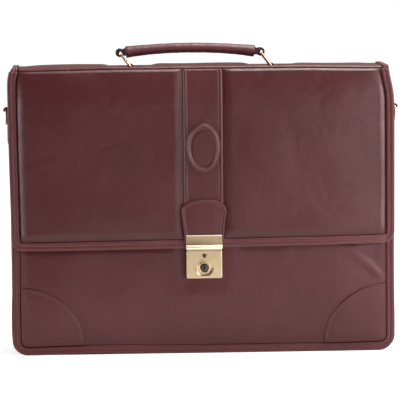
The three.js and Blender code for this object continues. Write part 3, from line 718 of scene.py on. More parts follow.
def makeFlap():
    w = leatherwork
    inset = bag["half"] - bag["panelHalf"]
    low = bag["flapLow"] + inset
    z = low + (bag["flapTop"] - low) * closeTo(0.75, 110)
    edge = (w["strapWidth"] / 2 + w["channel"]) / bag["panelHalf"]
    side = edge + (1 - edge) * closeTo(0.85, 110)
    share = np.concatenate([-side[::-1], np.linspace(-edge, edge, 14)[1:-1], side])
    half = outlineHalf(bag["half"], bag["flapLow"], w["flapCornerRadius"], inset, z)
    x = share[None, :] * half[:, None]
    zGrid = np.broadcast_to(z[:, None], x.shape)
    height = fieldSwell(x, zGrid)
    piece = shell("flap_leather", flapPlace(x, zGrid, height + w["wall"]), flapPlace(x, zGrid, height))
    dress(piece, oxbloodFlap, replaces=["flap_panel"])
    heights = np.linspace(bag["flapTop"], bag["flapLow"] + w["flapCornerRadius"], 65)
    path = rimPath(bag["half"], bag["flapLow"], w["flapCornerRadius"], heights)
    piece = band("flap_edge_leather", path, bandSection(0, w["bandThickness"]), flapPlace)
    dress(piece, oxbloodBand, replaces=["flap_binding", "flap_piping"])
    bandStitches(path, w["bandThickness"] - 0.5 * mm, flapPlace)


makeFront()
makeFlap()
print("front and flap ready")


# The back and the top, one piece from the floor up the back and over to the flap's seam

def backSizes():
    w = leatherwork
    backPlane = bag["gussetHalf"] + w["backStep"] - (w["bandThickness"] - w["wall"] - w["seamDrop"] / 2)
    seamPlane = bag["seamY"]
    backRise = w["height"] - w["rearBend"]
    rearArc = w["rearBend"] * math.pi / 2
    topRun = backPlane - w["rearBend"] - (seamPlane + w["frontBend"])
    return backPlane, seamPlane, backRise, rearArc, topRun


def backPlace(x, v, h):
    w = leatherwork
    backPlane, seamPlane, backRise, rearArc, topRun = backSizes()
    turnRear = np.clip((v - backRise) / w["rearBend"], 0, math.pi / 2)
    along = np.clip(v - backRise - rearArc, 0, topRun)
    turnFront = np.clip((v - backRise - rearArc - topRun) / w["frontBend"], 0, math.pi / 2)
    onTop = v > backRise + rearArc
    onFront = v > backRise + rearArc + topRun
    y = backPlane - w["rearBend"] + (w["rearBend"] + h) * np.cos(turnRear)
    z = np.where(v < backRise, v, backRise + (w["rearBend"] + h) * np.sin(turnRear))
    y = np.where(onTop, backPlane - w["rearBend"] - along, y)
    z = np.where(onTop, w["height"] + h, z)
    y = np.where(onFront, seamPlane + w["frontBend"] - (w["frontBend"] + h) * np.sin(turnFront), y)
    z = np.where(onFront, w["height"] - w["frontBend"] + (w["frontBend"] + h) * np.cos(turnFront), z)
    arch = archedEnds(x) * ramp(v, backRise, backRise + rearArc + topRun)
    return stack(drawnIn(x, z), y, z - arch)


def topLevel(x, v):
    w = leatherwork
    backRise, rearArc, topRun = backSizes()[2:]
    along = np.clip(v - backRise - rearArc, 0, topRun)
    fromChape = np.abs(np.abs(x) - w["handleSpan"] / 2) - w["chapeHalf"]
    lengthwise = rise(fromChape, w["topDipReach"]) * rise(bag["backHalf"] - np.abs(x), w["topEndReach"])
    crown = w["topCrown"] - w["crownSettling"] * ramp(x, w["handleSpan"] / 3, w["handleSpan"] * 0.6)
    level = crown * lengthwise - w["topDip"] * (1 - rise(fromChape, w["topDipReach"]))
    ripple = w["topWave"] * np.sin(x / w["topWaveLength"]) * lengthwise
    return (level + ripple) * rise(np.minimum(along, topRun - along), topRun / 3)


def backHeight(x, v):
    w = leatherwork
    backRise = backSizes()[2]
    side = bag["backHalf"] - np.abs(x)
    reach = w["puffReach"]
    puff = rise(side, reach) * rise(v - bag["backLow"], reach) * rise(backRise - v, reach)
    return (w["backPuff"] + wavy(x, v, waves["back"])) * puff + topLevel(x, v)


def makeBack():
    w = leatherwork
    inset = bag["half"] - bag["backHalf"]
    backRise, rearArc, topRun = backSizes()[2:]
    frontArc = w["frontBend"] * math.pi / 2
    length = backRise + rearArc + topRun + frontArc
    v = np.concatenate([
        bag["backLow"] + (backRise - bag["backLow"]) * closeTo(0.5, 90),
        np.linspace(backRise, backRise + rearArc, 14)[1:],
        np.linspace(backRise + rearArc, backRise + rearArc + topRun, 34)[1:],
        np.linspace(length - frontArc, length, 8)[1:],
    ])
    share = np.linspace(-1, 1, 181)
    half = outlineHalf(bag["half"], bag["low"], w["cornerRadius"], inset, v)
    x = share[None, :] * half[:, None]
    vGrid = np.broadcast_to(v[:, None], x.shape)
    height = backHeight(x, vGrid)
    inner = backPlace(x, vGrid, height - w["wall"])
    piece = shell("back_and_top_leather", backPlace(x, vGrid, height), inner)
    dress(piece, oxblood, replaces=["back_and_top"])
    face = w["bandThickness"] - w["wall"] - w["seamDrop"] / 2
    path = rimPath(bag["half"], bag["low"], w["cornerRadius"], v[::-1])
    narrow = bandSection(face - w["bandThickness"] + w["frontBend"] / 4, face)
    narrow[:, 0] *= (bag["half"] - bag["backHalf"] - w["seatGap"]) / w["bandWidth"]
    piece = band("back_edge_leather", path, narrow, backPlace)
    dress(piece, oxbloodBand, replaces=["back_binding"])
    u, z, nu, nv = path.T
    middle = narrow[:, 0].max() * w["bandGroove"]
    centre = backPlace(u + middle * nu, z + middle * nv, np.full(len(u), face - 0.5 * mm))
    outside = backPlace(u + middle * nu, z + middle * nv, np.full(len(u), face + 1 * mm))
    stitchLine(centre, (outside - centre) / np.linalg.norm(outside - centre, axis=1)[:, None])


gusset = {
    "puff": 2 * mm,
    "foldDepth": 1.6 * mm,  # a soft inward fold down the middle of each end
    "foldWidth": 9 * mm,
    "foldStart": (20 * mm, 60 * mm),  # heights where it runs in
    "foldTop": 212 * mm,
    "foldFade": 30 * mm,  # below its top
    "bendGap": 0.6 * mm,  # under the soft bend of the back
}


def makeGusset():
    w, g = leatherwork, gusset
    half = bag["gussetSide"] - g["puff"]
    backPlane = backSizes()[0]
    path = rimPath(half, 0, w["cornerRadius"], np.linspace(bag["gussetTop"], w["cornerRadius"], 90))
    y = bag["gussetHalf"] * (closeTo(0.4, 41) * 2 - 1)
    u, v, nu, nv = [k[None, :] for k in path.T]
    yGrid = y[:, None]
    onEnd = np.abs(nu)
    crowned = 1 - (yGrid / bag["gussetHalf"]) ** 2
    swell = g["puff"] * crowned * rise(v - w["cornerRadius"], w["puffReach"]) * onEnd
    lengthwise = ramp(v, *g["foldStart"]) * (1 - ramp(v, g["foldTop"] - g["foldFade"], g["foldTop"]))
    fold = g["foldDepth"] * hump(yGrid, g["foldWidth"]) * lengthwise * onEnd
    bendInside = w["rearBend"] - w["wall"] - g["bendGap"]
    out = np.clip(yGrid - (backPlane - w["rearBend"]), 0, None)
    limit = w["height"] - w["rearBend"] + np.sqrt(np.clip(bendInside**2 - out**2, 0, None))

    def place(depth):
        inwards = depth - swell + fold
        z = np.minimum(v + inwards * nv, limit)
        return stack(drawnIn(u + inwards * nu, z), yGrid, z)

    piece = shell("gusset_leather", place(0), place(w["wall"]))
    dress(piece, oxbloodTrim, replaces=["gusset"])


makeBack()
makeGusset()
print("back and gusset ready")


# The centre strap, the oval badge and the lock tab

strap = {
    "rim": 0.55 * mm,
    "rimInset": 2.3 * mm,
    "rimHalf": 1.9 * mm,
    "groove": 0.3 * mm,
    "grooveHalf": 0.9 * mm,
    "stitchInset": 4.4 * mm,
    "edge": 0.45,  # share of the thickness left at the edge
    "edgeReach": 1.5 * mm,
}


def sewnEdge(piece, thickness, fromEdge, sewn=1):  # a thinned edge, a raised rim and a stitched groove
    rim = piece["rim"] * hump(fromEdge - piece["rimInset"], piece["rimHalf"])
    groove = piece["groove"] * hump(fromEdge - piece["stitchInset"], piece["grooveHalf"])
    thinned = piece["edge"] + (1 - piece["edge"]) * rise(fromEdge, piece["edgeReach"])
    return thickness * thinned + (rim - groove) * sewn


def strapHeight(x):
    w = leatherwork
    return sewnEdge(strap, w["strapThickness"], w["strapWidth"] / 2 - np.abs(x))


def makeStrap():
    w, s = leatherwork, strap
    seat = w["wall"] + w["seatGap"]
    z = np.linspace(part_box("centre_strap")[0].z, bag["flapTop"] - w["seatGap"], 90)
    edge = np.linspace(0.36, 0.5, 18)  # narrow columns where the ridge lies
    x = np.concatenate([-edge[::-1], np.linspace(-0.36, 0.36, 30)[1:-1], edge]) * w["strapWidth"]
    xGrid, zGrid = np.meshgrid(x, z)
    outer = flapPlace(xGrid, zGrid, seat + strapHeight(xGrid))
    inner = flapPlace(xGrid, zGrid, np.full(xGrid.shape, seat))
    piece = shell("strap_leather", outer, inner)
    dress(piece, oxbloodTrim, replaces=["centre_strap"])
    for side in (-1, 1):
        line = np.full(len(z), side * (w["strapWidth"] / 2 - s["stitchInset"]))
        stitchLine(flapPlace(line, z, seat + strapHeight(line) + 0.08 * mm))


def roundSheet(name, outline, centre, shares, surface, seat):  # rings from a centre out to an outline
    rings = [centre + share * (outline - centre) for share in shares]
    outer = np.array([surface(*ring.T, share) for ring, share in zip(rings, shares)])
    inner = np.array([seat(*ring.T) for ring in rings])
    rows, count = outer.shape[:2]
    under = rows * count
    last = under - count
    faces = []
    for k in range(rows - 1):
        for j in range(count):
            n = (j + 1) % count
            quad = [k * count + j, k * count + n, (k + 1) * count + n, (k + 1) * count + j]
            faces.append(quad)
            faces.append([under + q for q in quad[::-1]])
    for j in range(count):
        n = (j + 1) % count
        faces.append([last + j, last + n, under + last + n, under + last + j])
    faces.append(list(range(count))[::-1])
    faces.append([under + j for j in range(count)])
    piece = makeMesh(name, np.concatenate([outer.reshape(-1, 3), inner.reshape(-1, 3)]), faces)
    return mergeDoubles(piece)


badge = {
    "width": 35.8 * mm,
    "height": 53.4 * mm,
    "centre": 221.5 * mm,
    "middle": 0.9 * mm,
    "edge": 0.35,  # how much thinner its outline is
    "edgeReach": 0.8 * mm,
    "rim": 2.3 * mm,
    "rimInset": 2.3 * mm,  # its stitches run on the rim
    "rimHalf": 2.7 * mm,
    "groove": 0.5 * mm,
    "grooveInset": 5.2 * mm,
    "grooveHalf": 1.1 * mm,
}


def makeBadge():
    w, b = leatherwork, badge
    seat = w["wall"] + w["strapThickness"] + 2 * w["seatGap"]
    turn = around(96)
    outline = np.stack([b["width"] / 2 * np.cos(turn), b["centre"] + b["height"] / 2 * np.sin(turn)], 1)
    centre = np.array([0, b["centre"]])
    shares = np.concatenate([np.linspace(0.02, 0.6, 8), np.linspace(0.64, 1, 26)])

    def height(share):
        fromEdge = (1 - share) * b["width"] / 2
        rim = b["rim"] * hump(fromEdge - b["rimInset"], b["rimHalf"])
        groove = b["groove"] * hump(fromEdge - b["grooveInset"], b["grooveHalf"])
        field = b["middle"] * (1 - b["edge"] * hump(fromEdge, b["edgeReach"]))
        return max(field, rim) - groove

    piece = roundSheet(
        "badge_leather", outline, centre, shares,
        lambda x, z, share: flapPlace(x, z, np.full(len(x), seat + height(share))),
        lambda x, z: flapPlace(x, z, np.full(len(x), seat)),
    )
    dress(piece, oxbloodTrim, replaces=["oval_patch"])
    ring = centre + (1 - b["rimInset"] / (b["width"] / 2)) * (outline - centre)
    ring = np.concatenate([ring, ring[:1]])
    stitchLine(flapPlace(*ring.T, np.full(len(ring), seat + b["rim"] + 0.05 * mm)))


tab = {
    "width": 49 * mm,
    "foot": 42 * mm,
    "height": 51 * mm,
    "arch": 14 * mm,
    "lift": 1 * mm,
    "squareness": 0.75,  # below 1 the arch's sides are squarer than an ellipse's
    "flatness": 0.85,  # below 1 the arch's crown is flatter
    "flare": 1.6,
    "thickness": 2.9 * mm,
    "rim": 0.5 * mm,
    "rimInset": 1.9 * mm,
    "rimHalf": 1.8 * mm,
    "groove": 0.35 * mm,
    "grooveHalf": 1 * mm,
    "stitchInset": 4.1 * mm,
    "edge": 0.3,
    "edgeReach": 1.7 * mm,
    "puff": 0.5 * mm,
    "puffReach": (4.5 * mm, 14 * mm),
}


def tabOutline():
    t = tab
    base = bag["flapLow"] + t["lift"]
    shoulder = base + t["height"] - t["arch"]
    turn = np.linspace(0, math.pi, 60)
    c, s = np.cos(turn), np.clip(np.sin(turn), 0, 1)
    across = np.sign(c) * np.abs(c) ** t["squareness"] * t["width"] / 2
    arch = np.stack([across, shoulder + t["arch"] * s ** t["flatness"]], 1)
    rows = np.linspace(0, 1, 26)[1:-1]
    half = t["foot"] / 2 + (t["width"] - t["foot"]) / 2 * rows ** t["flare"]
    right = np.stack([half, base + (shoulder - base) * rows], 1)
    left = right[::-1] * [-1, 1]
    bottom = np.stack([np.linspace(-t["foot"] / 2, t["foot"] / 2, 30), np.full(30, base)], 1)
    return np.concatenate([bottom, right, arch, left]), np.array([0, shoulder - t["arch"] / 2]), len(bottom)


def makeTab():
    w, t = leatherwork, tab
    seat = max(w["strapThickness"] + w["wall"] + w["seatGap"], w["bandThickness"]) + w["seatGap"]
    outline, centre, bottomCount = tabOutline()
    reach = t["width"] / 2
    shares = np.concatenate([np.linspace(0.02, 0.72, 12), np.linspace(0.75, 1, 18)])

    def height(share):
        fromEdge = (1 - share) * reach
        return float(sewnEdge(t, t["thickness"], fromEdge) + t["puff"] * ramp(fromEdge, *t["puffReach"]))

    piece = roundSheet(
        "tab_leather", outline, centre, shares,
        lambda x, z, share: flapPlace(x, z, np.full(len(x), seat + height(share))),
        lambda x, z: flapPlace(x, z, np.full(len(x), seat)),
    )
    dress(piece, oxbloodTrim, replaces=["lock_tab"])
    share = 1 - t["stitchInset"] / reach
    ring = (centre + share * (outline - centre))[bottomCount:]
    stitchLine(flapPlace(*ring.T, np.full(len(ring), seat + height(share) + 0.1 * mm)))


cornerPatch = {
    "width": 67 * mm,
    "height": 63.5 * mm,
    "thickness": 1.5 * mm,
    "lift": 0.3 * mm,
    "gap": 0.3 * mm,
    "middle": 0.36,  # share of its sides from the corner to its middle
    "rim": 0.35 * mm,
    "rimInset": 1.4 * mm,
    "rimHalf": 1.3 * mm,
    "groove": 0.35 * mm,
    "grooveHalf": 0.9 * mm,
    "stitchInset": 3 * mm,
    "edge": 0.35,
    "edgeReach": 0.9 * mm,
    "puff": 0.5 * mm,
    "puffReach": (4 * mm, 14 * mm),
}


def makeCornerPatch(side, sideSign):
    w, c = leatherwork, cornerPatch
    inner = w["cornerRadius"] - (bag["half"] - bag["panelHalf"]) - c["gap"]
    edgeX, edgeZ = bag["panelHalf"] - c["gap"], bag["panelLow"] + c["gap"]
    turn = np.linspace(0, math.pi / 2, 70)
    arc = np.stack([edgeX - c["width"] * np.sin(turn), edgeZ + c["height"] * np.cos(turn)], 1)
    along = np.linspace(edgeX - c["width"], edgeX - inner, 40)[1:-1]
    bottom = np.stack([along, np.full(len(along), edgeZ)], 1)
    turn = np.linspace(0, math.pi / 2, 10)
    bend = np.stack([edgeX - inner * (1 - np.sin(turn)), edgeZ + inner * (1 - np.cos(turn))], 1)
    upwards = np.linspace(edgeZ + inner, edgeZ + c["height"], 40)[1:-1]
    outline = np.concatenate([arc, bottom, bend, np.stack([np.full(len(upwards), edgeX), upwards], 1)])
    outline = outline * [sideSign, 1]
    centre = np.array([sideSign * (edgeX - c["width"] * c["middle"]), edgeZ + c["height"] * c["middle"]])
    onArc = np.zeros(len(outline))
    onArc[: len(arc)] = 1
    size = np.linalg.norm(outline - centre, axis=1)
    shares = np.concatenate([np.linspace(0.02, 0.8, 14), np.linspace(0.83, 1, 18)])

    def height(share):
        fromEdge = (1 - share) * size
        return sewnEdge(c, c["thickness"], fromEdge, onArc) + c["puff"] * ramp(fromEdge, *c["puffReach"])

    def seat(x, z):
        return frontHeight(x, z) + c["lift"]

    piece = roundSheet(
        f"corner_leather_{side}", outline, centre, shares,
        lambda x, z, share: frontPlace(x, z, seat(x, z) + height(share)),
        lambda x, z: frontPlace(x, z, seat(x, z)),
    )
    dress(piece, oxblood, replaces=[f"corner_patch_{side}"])
    radial = 1 - c["stitchInset"] / size[: len(arc)]
    x, z = (centre + radial[:, None] * (outline[: len(arc)] - centre))[3:-3].T
    stitchLine(frontPlace(x, z, seat(x, z) + c["thickness"] - 0.15 * mm))


makeStrap()
makeBadge()
makeTab()
makeCornerPatch("left", -1)
makeCornerPatch("right", 1)
print("strap, badge, tab and corners ready")


# The lock

def circle(radius, centre=(0, 0), count=32):
    return np.array(arcPoints(radius, around(count))) + centre


def latheFront(name, profile, centre, count=64):  # spins (radius, y) around the Y axis through centre
    turn = around(count)
    across, up = np.cos(turn), np.sin(turn)
    return sweep(name, np.array([stack(centre[0] + r * across, y, centre[1] + r * up) for r, y in profile]))


lock = {
    "width": 37.8 * mm,
    "height": 30.4 * mm,
    "bevel": 0.7 * mm,
    "corner": 1.2 * mm,
    "dishRadius": 10 * mm,
    "dishDepth": 1.3 * mm,
    "buttonAbove": 11.4 * mm,
    "pinAbove": 24.2 * mm,
    "buttonRadius": 6.5 * mm,
    "plugRadius": 4.7 * mm,
    "gap": 0.2 * mm,  # around the button and the plug
    "pinHole": 2.4 * mm,
    "pinHoleDepth": 2 * mm,
    "keyhole": 1 * mm,  # radius of its round end
    "keyholeLift": 1.4 * mm,
    "keyholeDepth": 3 * mm,
}


def blockOutline(direction, inset, top, bottom):  # the block seen from the button, with rounded corners
    k = lock
    half = k["width"] / 2 - inset
    top, bottom = top - inset, bottom - inset
    wayU, wayV = np.maximum(np.abs(direction), 1e-9).T
    reach = np.minimum(half / wayU, np.where(direction[:, 1] > 0, top, bottom) / wayV)
    points = direction * reach[:, None]
    radius = max(k["corner"] - inset, 0.2 * mm)
    cornerU = np.sign(points[:, 0]) * (half - radius)
    cornerV = np.where(points[:, 1] > 0, top - radius, -(bottom - radius))
    corners = np.stack([cornerU, cornerV], 1)
    inCorner = (np.abs(points[:, 0]) > half - radius) & (np.abs(points[:, 1]) > np.abs(cornerV))
    offset = points - corners
    length = np.maximum(np.linalg.norm(offset, axis=1), 1e-9)
    return np.where(inCorner[:, None], corners + offset * (radius / length)[:, None], points)


def makeLockBlock(middleX, cylinderZ, pinZ):
    k = lock
    low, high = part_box("lock_case")
    face, back = low.y, high.y
    direction = circle(1, count=192)

    def outline(inset):
        return blockOutline(direction, inset, high.z - cylinderZ, cylinderZ - low.z)

    def ring(points, y):
        return stack(middleX + points[:, 0], np.full(len(points), y), cylinderZ + points[:, 1])

    bore = k["buttonRadius"] + k["gap"]
    rings = [
        ring(direction * bore, back - 0.5 * mm),
        ring(direction * bore, face + k["dishDepth"] + 0.15 * mm),
    ]
    for r in np.linspace(bore + 0.15 * mm, k["dishRadius"], 12):
        depth = k["dishDepth"] * (1 - ((r - bore) / (k["dishRadius"] - bore)) ** 2)
        rings.append(ring(direction * r, face + depth))
    edge = outline(k["bevel"])
    for share in np.linspace(0.03, 1, 10):
        rings.append(ring(direction * k["dishRadius"] * (1 - share) + edge * share, face))
    for t in np.linspace(0, math.pi / 2, 6)[1:]:
        rings.append(ring(outline(k["bevel"] * (1 - math.sin(t))), face + k["bevel"] * (1 - math.cos(t))))
    outer = outline(0)
    rings += [ring(outer, back), ring(outer * 0.4, back)]
    block = sweep("lock_block", np.array(rings), closed=True)
    hole = [(k["pinHole"], face - 3 * mm), (k["pinHole"], face + k["pinHoleDepth"])]
    block = carve(block, [latheFront("pin_cutter", hole, (middleX, pinZ))])
    dress(smoothByAngle(block, 32), paleBrass, replaces=["lock_case"])


def makePin(middleX, pinZ):
    low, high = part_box("lock_pin")
    radius = (high.x - low.x) / 2
    profile = [
        (0.01 * mm, low.y), (radius * 0.6, low.y), (radius, low.y + 0.4 * mm),
        (radius, high.y), (0.01 * mm, high.y),
    ]
    piece = latheFront("pin_dot", profile, (middleX, pinZ), 32)
    dress(smoothByAngle(piece), bronzedSteel, replaces=["lock_pin"])


def makeButton(middleX, cylinderZ):
    k = lock
    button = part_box("lock_button")
    front, rear = button[0].y, button[1].y
    inner, outer = k["plugRadius"] + k["gap"], k["buttonRadius"]
    profile = [
        (inner, rear), (inner, front + 0.4 * mm),
        (inner + 0.25 * mm, front + 0.08 * mm), (inner + 0.6 * mm, front),
        (outer - 0.6 * mm, front), (outer - 0.18 * mm, front + 0.18 * mm),
        (outer, front + 0.6 * mm), (outer, rear),
    ]
    rings = np.array([
        [(middleX + r * math.cos(t), y, cylinderZ + r * math.sin(t)) for r, y in profile] for t in around(72)
    ])
    piece = sweep("button_rim", rings, closed=True)
    dress(smoothByAngle(piece, 50), paleBrass, "lock_button", ["lock_button"])


def makePlug(middleX, cylinderZ):
    k = lock
    low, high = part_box("key_plug")
    radius = k["plugRadius"]
    profile = [
        (0.01 * mm, low.y), (radius - 0.5 * mm, low.y), (radius - 0.1 * mm, low.y + 0.15 * mm),
        (radius, low.y + 0.5 * mm), (radius, high.y), (0.01 * mm, high.y),
    ]
    piece = latheFront("plug_face", profile, (middleX, cylinderZ))
    place = Matrix.Translation((middleX, low.y, cylinderZ)) @ Matrix.Rotation(math.pi / 2, 4, "X")
    outlines = {
        "slot_cutter": circle(k["keyhole"], (0, k["keyholeLift"]), 20),
        "slot_bar": np.array([(-0.5, -2.6), (0.5, -2.6), (0.5, 2.2), (-0.5, 2.2)]) * mm,
    }
    width = 2 * k["keyholeDepth"]
    cutters = [profileSolid(name, [outline], width, 0.05 * mm, place) for name, outline in outlines.items()]
    piece = carve(piece, cutters)
    dress(smoothByAngle(piece), bronzedSteel, "key_plug", ["key_plug"])


def makeLock():
    low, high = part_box("lock_case")
    middleX = 0.5 * (low.x + high.x)
    cylinderZ, pinZ = low.z + lock["buttonAbove"], low.z + lock["pinAbove"]
    makeLockBlock(middleX, cylinderZ, pinZ)
    makePin(middleX, pinZ)
    makeButton(middleX, cylinderZ)
    makePlug(middleX, cylinderZ)


hasp = {
    "plate": 1.4 * mm,
    "rim": 0.8 * mm,
    "rimHeight": 0.8 * mm,
    "lipHeight": 5.4 * mm,
    "lip": 5 * mm,
    "coveGap": 0.5 * mm,  # from the lip to where the plate starts curving out
    "bevel": 0.35 * mm,
}


def makeHasp():
    p = hasp
    low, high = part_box("hasp")
    height = high.z - low.z
    radius = p["lipHeight"] / 2
    turn = np.linspace(-math.pi / 2, math.pi / 2, 22)
    lip = np.array(arcPoints(radius, turn)) + (p["lip"] - radius, radius)
    coveLow = p["lipHeight"] + p["coveGap"]
    coveRise = height - p["rimHeight"] - coveLow
    cove = [(p["plate"] + p["rim"] * s**3, coveLow + coveRise * s) for s in np.linspace(0, 1, 14)]
    outline = [(0, 0), *lip, *cove, (p["plate"] + p["rim"], height), (0, height)]
    place = Matrix(((0, 0, 1, 0.5 * (low.x + high.x)), (-1, 0, 0, high.y), (0, 1, 0, low.z), (0, 0, 0, 1)))
    piece = profileSolid("hasp_plate", [outline], high.x - low.x, p["bevel"], place)
    # The whole hasp first takes the lighter brass, a painted highlight meant for its lip
    dress(smoothByAngle(piece, 30), lipHighlightBrass, replaces=["hasp"])
    # The plate's faces take the darker copy of the brass, a painted shade; the lip keeps the lighter copy, a
    # painted highlight
    piece.data.materials.append(haspPlateShadeBrass)
    lipTop = low.z + p["lipHeight"] - 0.2 * mm
    for polygon in piece.data.polygons:
        inPlate = lipTop < polygon.center.z < high.z - 0.6 * mm
        polygon.material_index = 1 if inPlate and polygon.center.y < high.y - 0.3 * mm else 0


makeLock()
makeHasp()
print("lock ready")


# The handle

joints = {joint["name"]: joint for joint in frame["joints"]}
lowerLeft = np.array(joints["handle_swing"]["pos_m"])
lowerRight = np.array(joints["handle_ring_right_swing"]["pos_m"])
upperLeft = np.array(joints["handle_on_ring"]["pos_m"])
upperRight = upperLeft + lowerRight - lowerLeft
leanWay = (upperLeft - lowerLeft) / np.linalg.norm(upperLeft - lowerLeft)

handle = {
    "fill": 0.95,  # a cord core under tight leather
    "rise": 5 * mm,
    "thickness": 10.2 * mm,
    "width": 15 * mm,
    "swell": 0.2,
    "start": 6.4 * mm,
    "loopWidth": 12 * mm,
    "loopLeather": 3 * mm,
    "tongue": 7 * mm,
    "ringWire": 2.4 * mm,
    "ringShown": 2.9 * mm,  # the wire fills more of the loops
    "ringInside": 16 * mm,
    "ringReach": 19 * mm,
    "ringCorner": 2.6 * mm,
    "barGap": 0.4 * mm,
    "seamFin": 0.54 * mm,  # the sewn seam along its underside
    "finHalf": 2.2 * mm,
    "wobble": ((0.012, 23), (0.01, 51)),  # share of its size and turns from the middle to an end
    "endSize": 0.86,  # its ends are rounded down to this share
    "endReach": 1.4 * mm,
    "sewn": 0.93,  # share of its half length with stitches
    "stitchSide": 3.4 * mm,
    "stitchDepth": 0.93,  # share of half its thickness below its middle
    "stitchWay": (0.4, -0.9),
}


def wireRing(name, path, radius, origin, upWay):  # path: points and ways out in the plane of Y and upWay
    turn = around(16)
    yWay = np.array([0, 1, 0])
    side = np.cross(upWay, yWay)
    rings = []
    for u, v, nu, nv in path:
        centre = origin + u * yWay + v * upWay
        out = nu * yWay + nv * upWay
        rings.append([centre + radius * (math.cos(t) * out + math.sin(t) * side) for t in turn])
    return sweep(name, np.array(rings), closed=True)


def bentWire(u, v, radius, start, end):  # nine stations of a bend around (u, v)
    turns = np.linspace(start, end, 9)
    return [(u + radius * math.cos(t), v + radius * math.sin(t), math.cos(t), math.sin(t)) for t in turns]


def facing(origin, sign):  # turns a piece of the right side round for the left one
    return Matrix.Translation(origin) @ Matrix.Rotation(0 if sign > 0 else math.pi, 4, "Z")


def makeGrip(arcRadius, arcHalf):
    h = handle
    gripHalf = arcHalf - h["start"] / arcRadius
    middle = 0.5 * (upperLeft + upperRight)
    turn = around(40)
    rings, underside = [], []
    for share in np.linspace(-1, 1, 97):
        a = share * gripHalf
        out = np.array([math.sin(a), 0, math.cos(a)])
        centre = middle + arcRadius * (out - [0, 0, math.cos(arcHalf)])
        size = 1 + h["swell"] * abs(share) ** 4
        size += sum(height * math.sin(share * turns) for height, turns in h["wobble"])
        fromEnd = (1 - abs(share)) * gripHalf * arcRadius + 0.25 * mm
        size *= h["endSize"] + (1 - h["endSize"]) * min(1, fromEnd / h["endReach"]) ** 0.5
        ring = []
        for t in turn:
            across = h["width"] / 2 * math.cos(t) * size
            up = h["thickness"] / 2 * math.sin(t) * size
            if math.sin(t) < 0:
                up -= h["seamFin"] * max(0, 1 - abs(across) / h["finHalf"])
            ring.append(centre + np.array([0, across, 0]) + out * up)
        rings.append(ring)
        if abs(share) < h["sewn"]:
            underside.append(centre - out * (h["thickness"] / 2 * size * h["stitchDepth"]))
    piece = sweep("grip_leather", np.array(rings))
    dress(piece, umberHandle, "handle", ["handle_grip"])
    sideways, down = h["stitchWay"]
    for side in (-1, 1):
        stitchLine(np.array(underside) + [0, side * h["stitchSide"], 0], (0, side * sideways, down), "handle")


def makeHandle():
    h = handle
    span = np.linalg.norm(upperRight - upperLeft)
    arcRadius = ((span / 2) ** 2 + h["rise"] ** 2) / (2 * h["rise"])
    arcHalf = math.asin(span / 2 / arcRadius)
    makeGrip(arcRadius, arcHalf)

    hole = h["ringWire"] / 2 + h["barGap"]
    outside = hole + h["loopLeather"]
    meet = math.asin(h["tongue"] / 2 / outside)
    tip = 2 * arcRadius * math.sin(h["start"] / arcRadius / 2) + 0.6 * mm
    tipHalf = h["tongue"] / 2 * 1.2
    arc = arcPoints(outside, np.linspace(meet, 2 * math.pi - meet, 40))
    outlines = [[(tip, -tipHalf), (tip, tipHalf), *arc], circle(hole)]
    tilt = arcHalf - h["start"] / arcRadius / 2
    for side, origin, sign in (("left", upperLeft, 1), ("right", upperRight, -1)):
        place = facing(origin, sign) @ Matrix.Rotation(-tilt, 4, "Y") @ upright
        piece = profileSolid(f"grip_loop_leather_{side}", outlines, h["loopWidth"], 0.6 * mm, place)
        dress(smoothByAngle(piece, 40), umberLoop, "handle", [f"handle_loop_{side}"])

    corner = h["ringCorner"]
    right = (h["ringInside"] + h["ringWire"]) / 2 - corner
    high = h["ringReach"] - corner
    path = []
    for quarter, (u, v) in enumerate(((right, high), (-right, high), (-right, corner), (right, corner))):
        path += bentWire(u, v, corner, quarter * math.pi / 2, (quarter + 1) * math.pi / 2)
    for side, origin in (("left", lowerLeft), ("right", lowerRight)):
        piece = wireRing(f"carry_ring_{side}", path, h["ringShown"] / 2, origin, leanWay)
        dress(piece, ringBrass, f"handle_ring_{side}", [f"handle_ring_{side}"])


chape = {
    "foot": 18 * mm,
    "footThickness": 1.6 * mm,
    "leather": 1.7 * mm,
    "barHeight": 3.6 * mm,
    "fillet": 0.6 * mm,  # where the loop runs out on its foot
    "stitchX": 6.6 * mm,  # a row across either end of the foot
    "stitchHalf": 4.6 * mm,
}


def makeChapes():
    h, c = handle, chape
    hole = h["ringWire"] / 2 + h["barGap"]
    outside = hole + c["leather"]
    low = leatherwork["seatGap"] - c["barHeight"]
    top = low + c["footThickness"]
    half, edge = c["foot"] / 2, low + c["footThickness"] / 2
    tangent = math.pi / 5
    outline = [
        (-half, low), (half, low), (half, edge), (outside + c["fillet"], top),
        *arcPoints(outside, np.linspace(-tangent, math.pi + tangent, 36)),
        (-outside - c["fillet"], top), (-half, edge),
    ]
    outlines = [outline, circle(hole)]
    for side, origin in (("left", lowerLeft), ("right", lowerRight)):
        place = Matrix.Translation(origin) @ upright
        piece = profileSolid(f"chape_leather_{side}", outlines, h["loopWidth"], 0.35 * mm, place)
        dress(smoothByAngle(piece, 40), oxbloodTrim, replaces=[f"handle_chape_{side}"])
        y = origin[1] + np.linspace(-c["stitchHalf"], c["stitchHalf"], 5)
        for end in (-1, 1):
            stitchLine(stack(origin[0] + end * c["stitchX"], y, origin[2] + top + 0.1 * mm), (0, 0, 1))


sideRing = {
    "wire": 2.2 * mm,
    "inside": 18 * mm,
    "reach": 15.5 * mm,
    "bend": 3 * mm,
    "shank": 1 * mm,  # straight wire between bend and bow
    "loopGap": 0.3 * mm,
    "loopLeather": 1.4 * mm,
    "chapeWidth": 16 * mm,
    "tail": 36 * mm,
    "tailThickness": 1.5 * mm,
    "stitchHalf": 5 * mm,
}


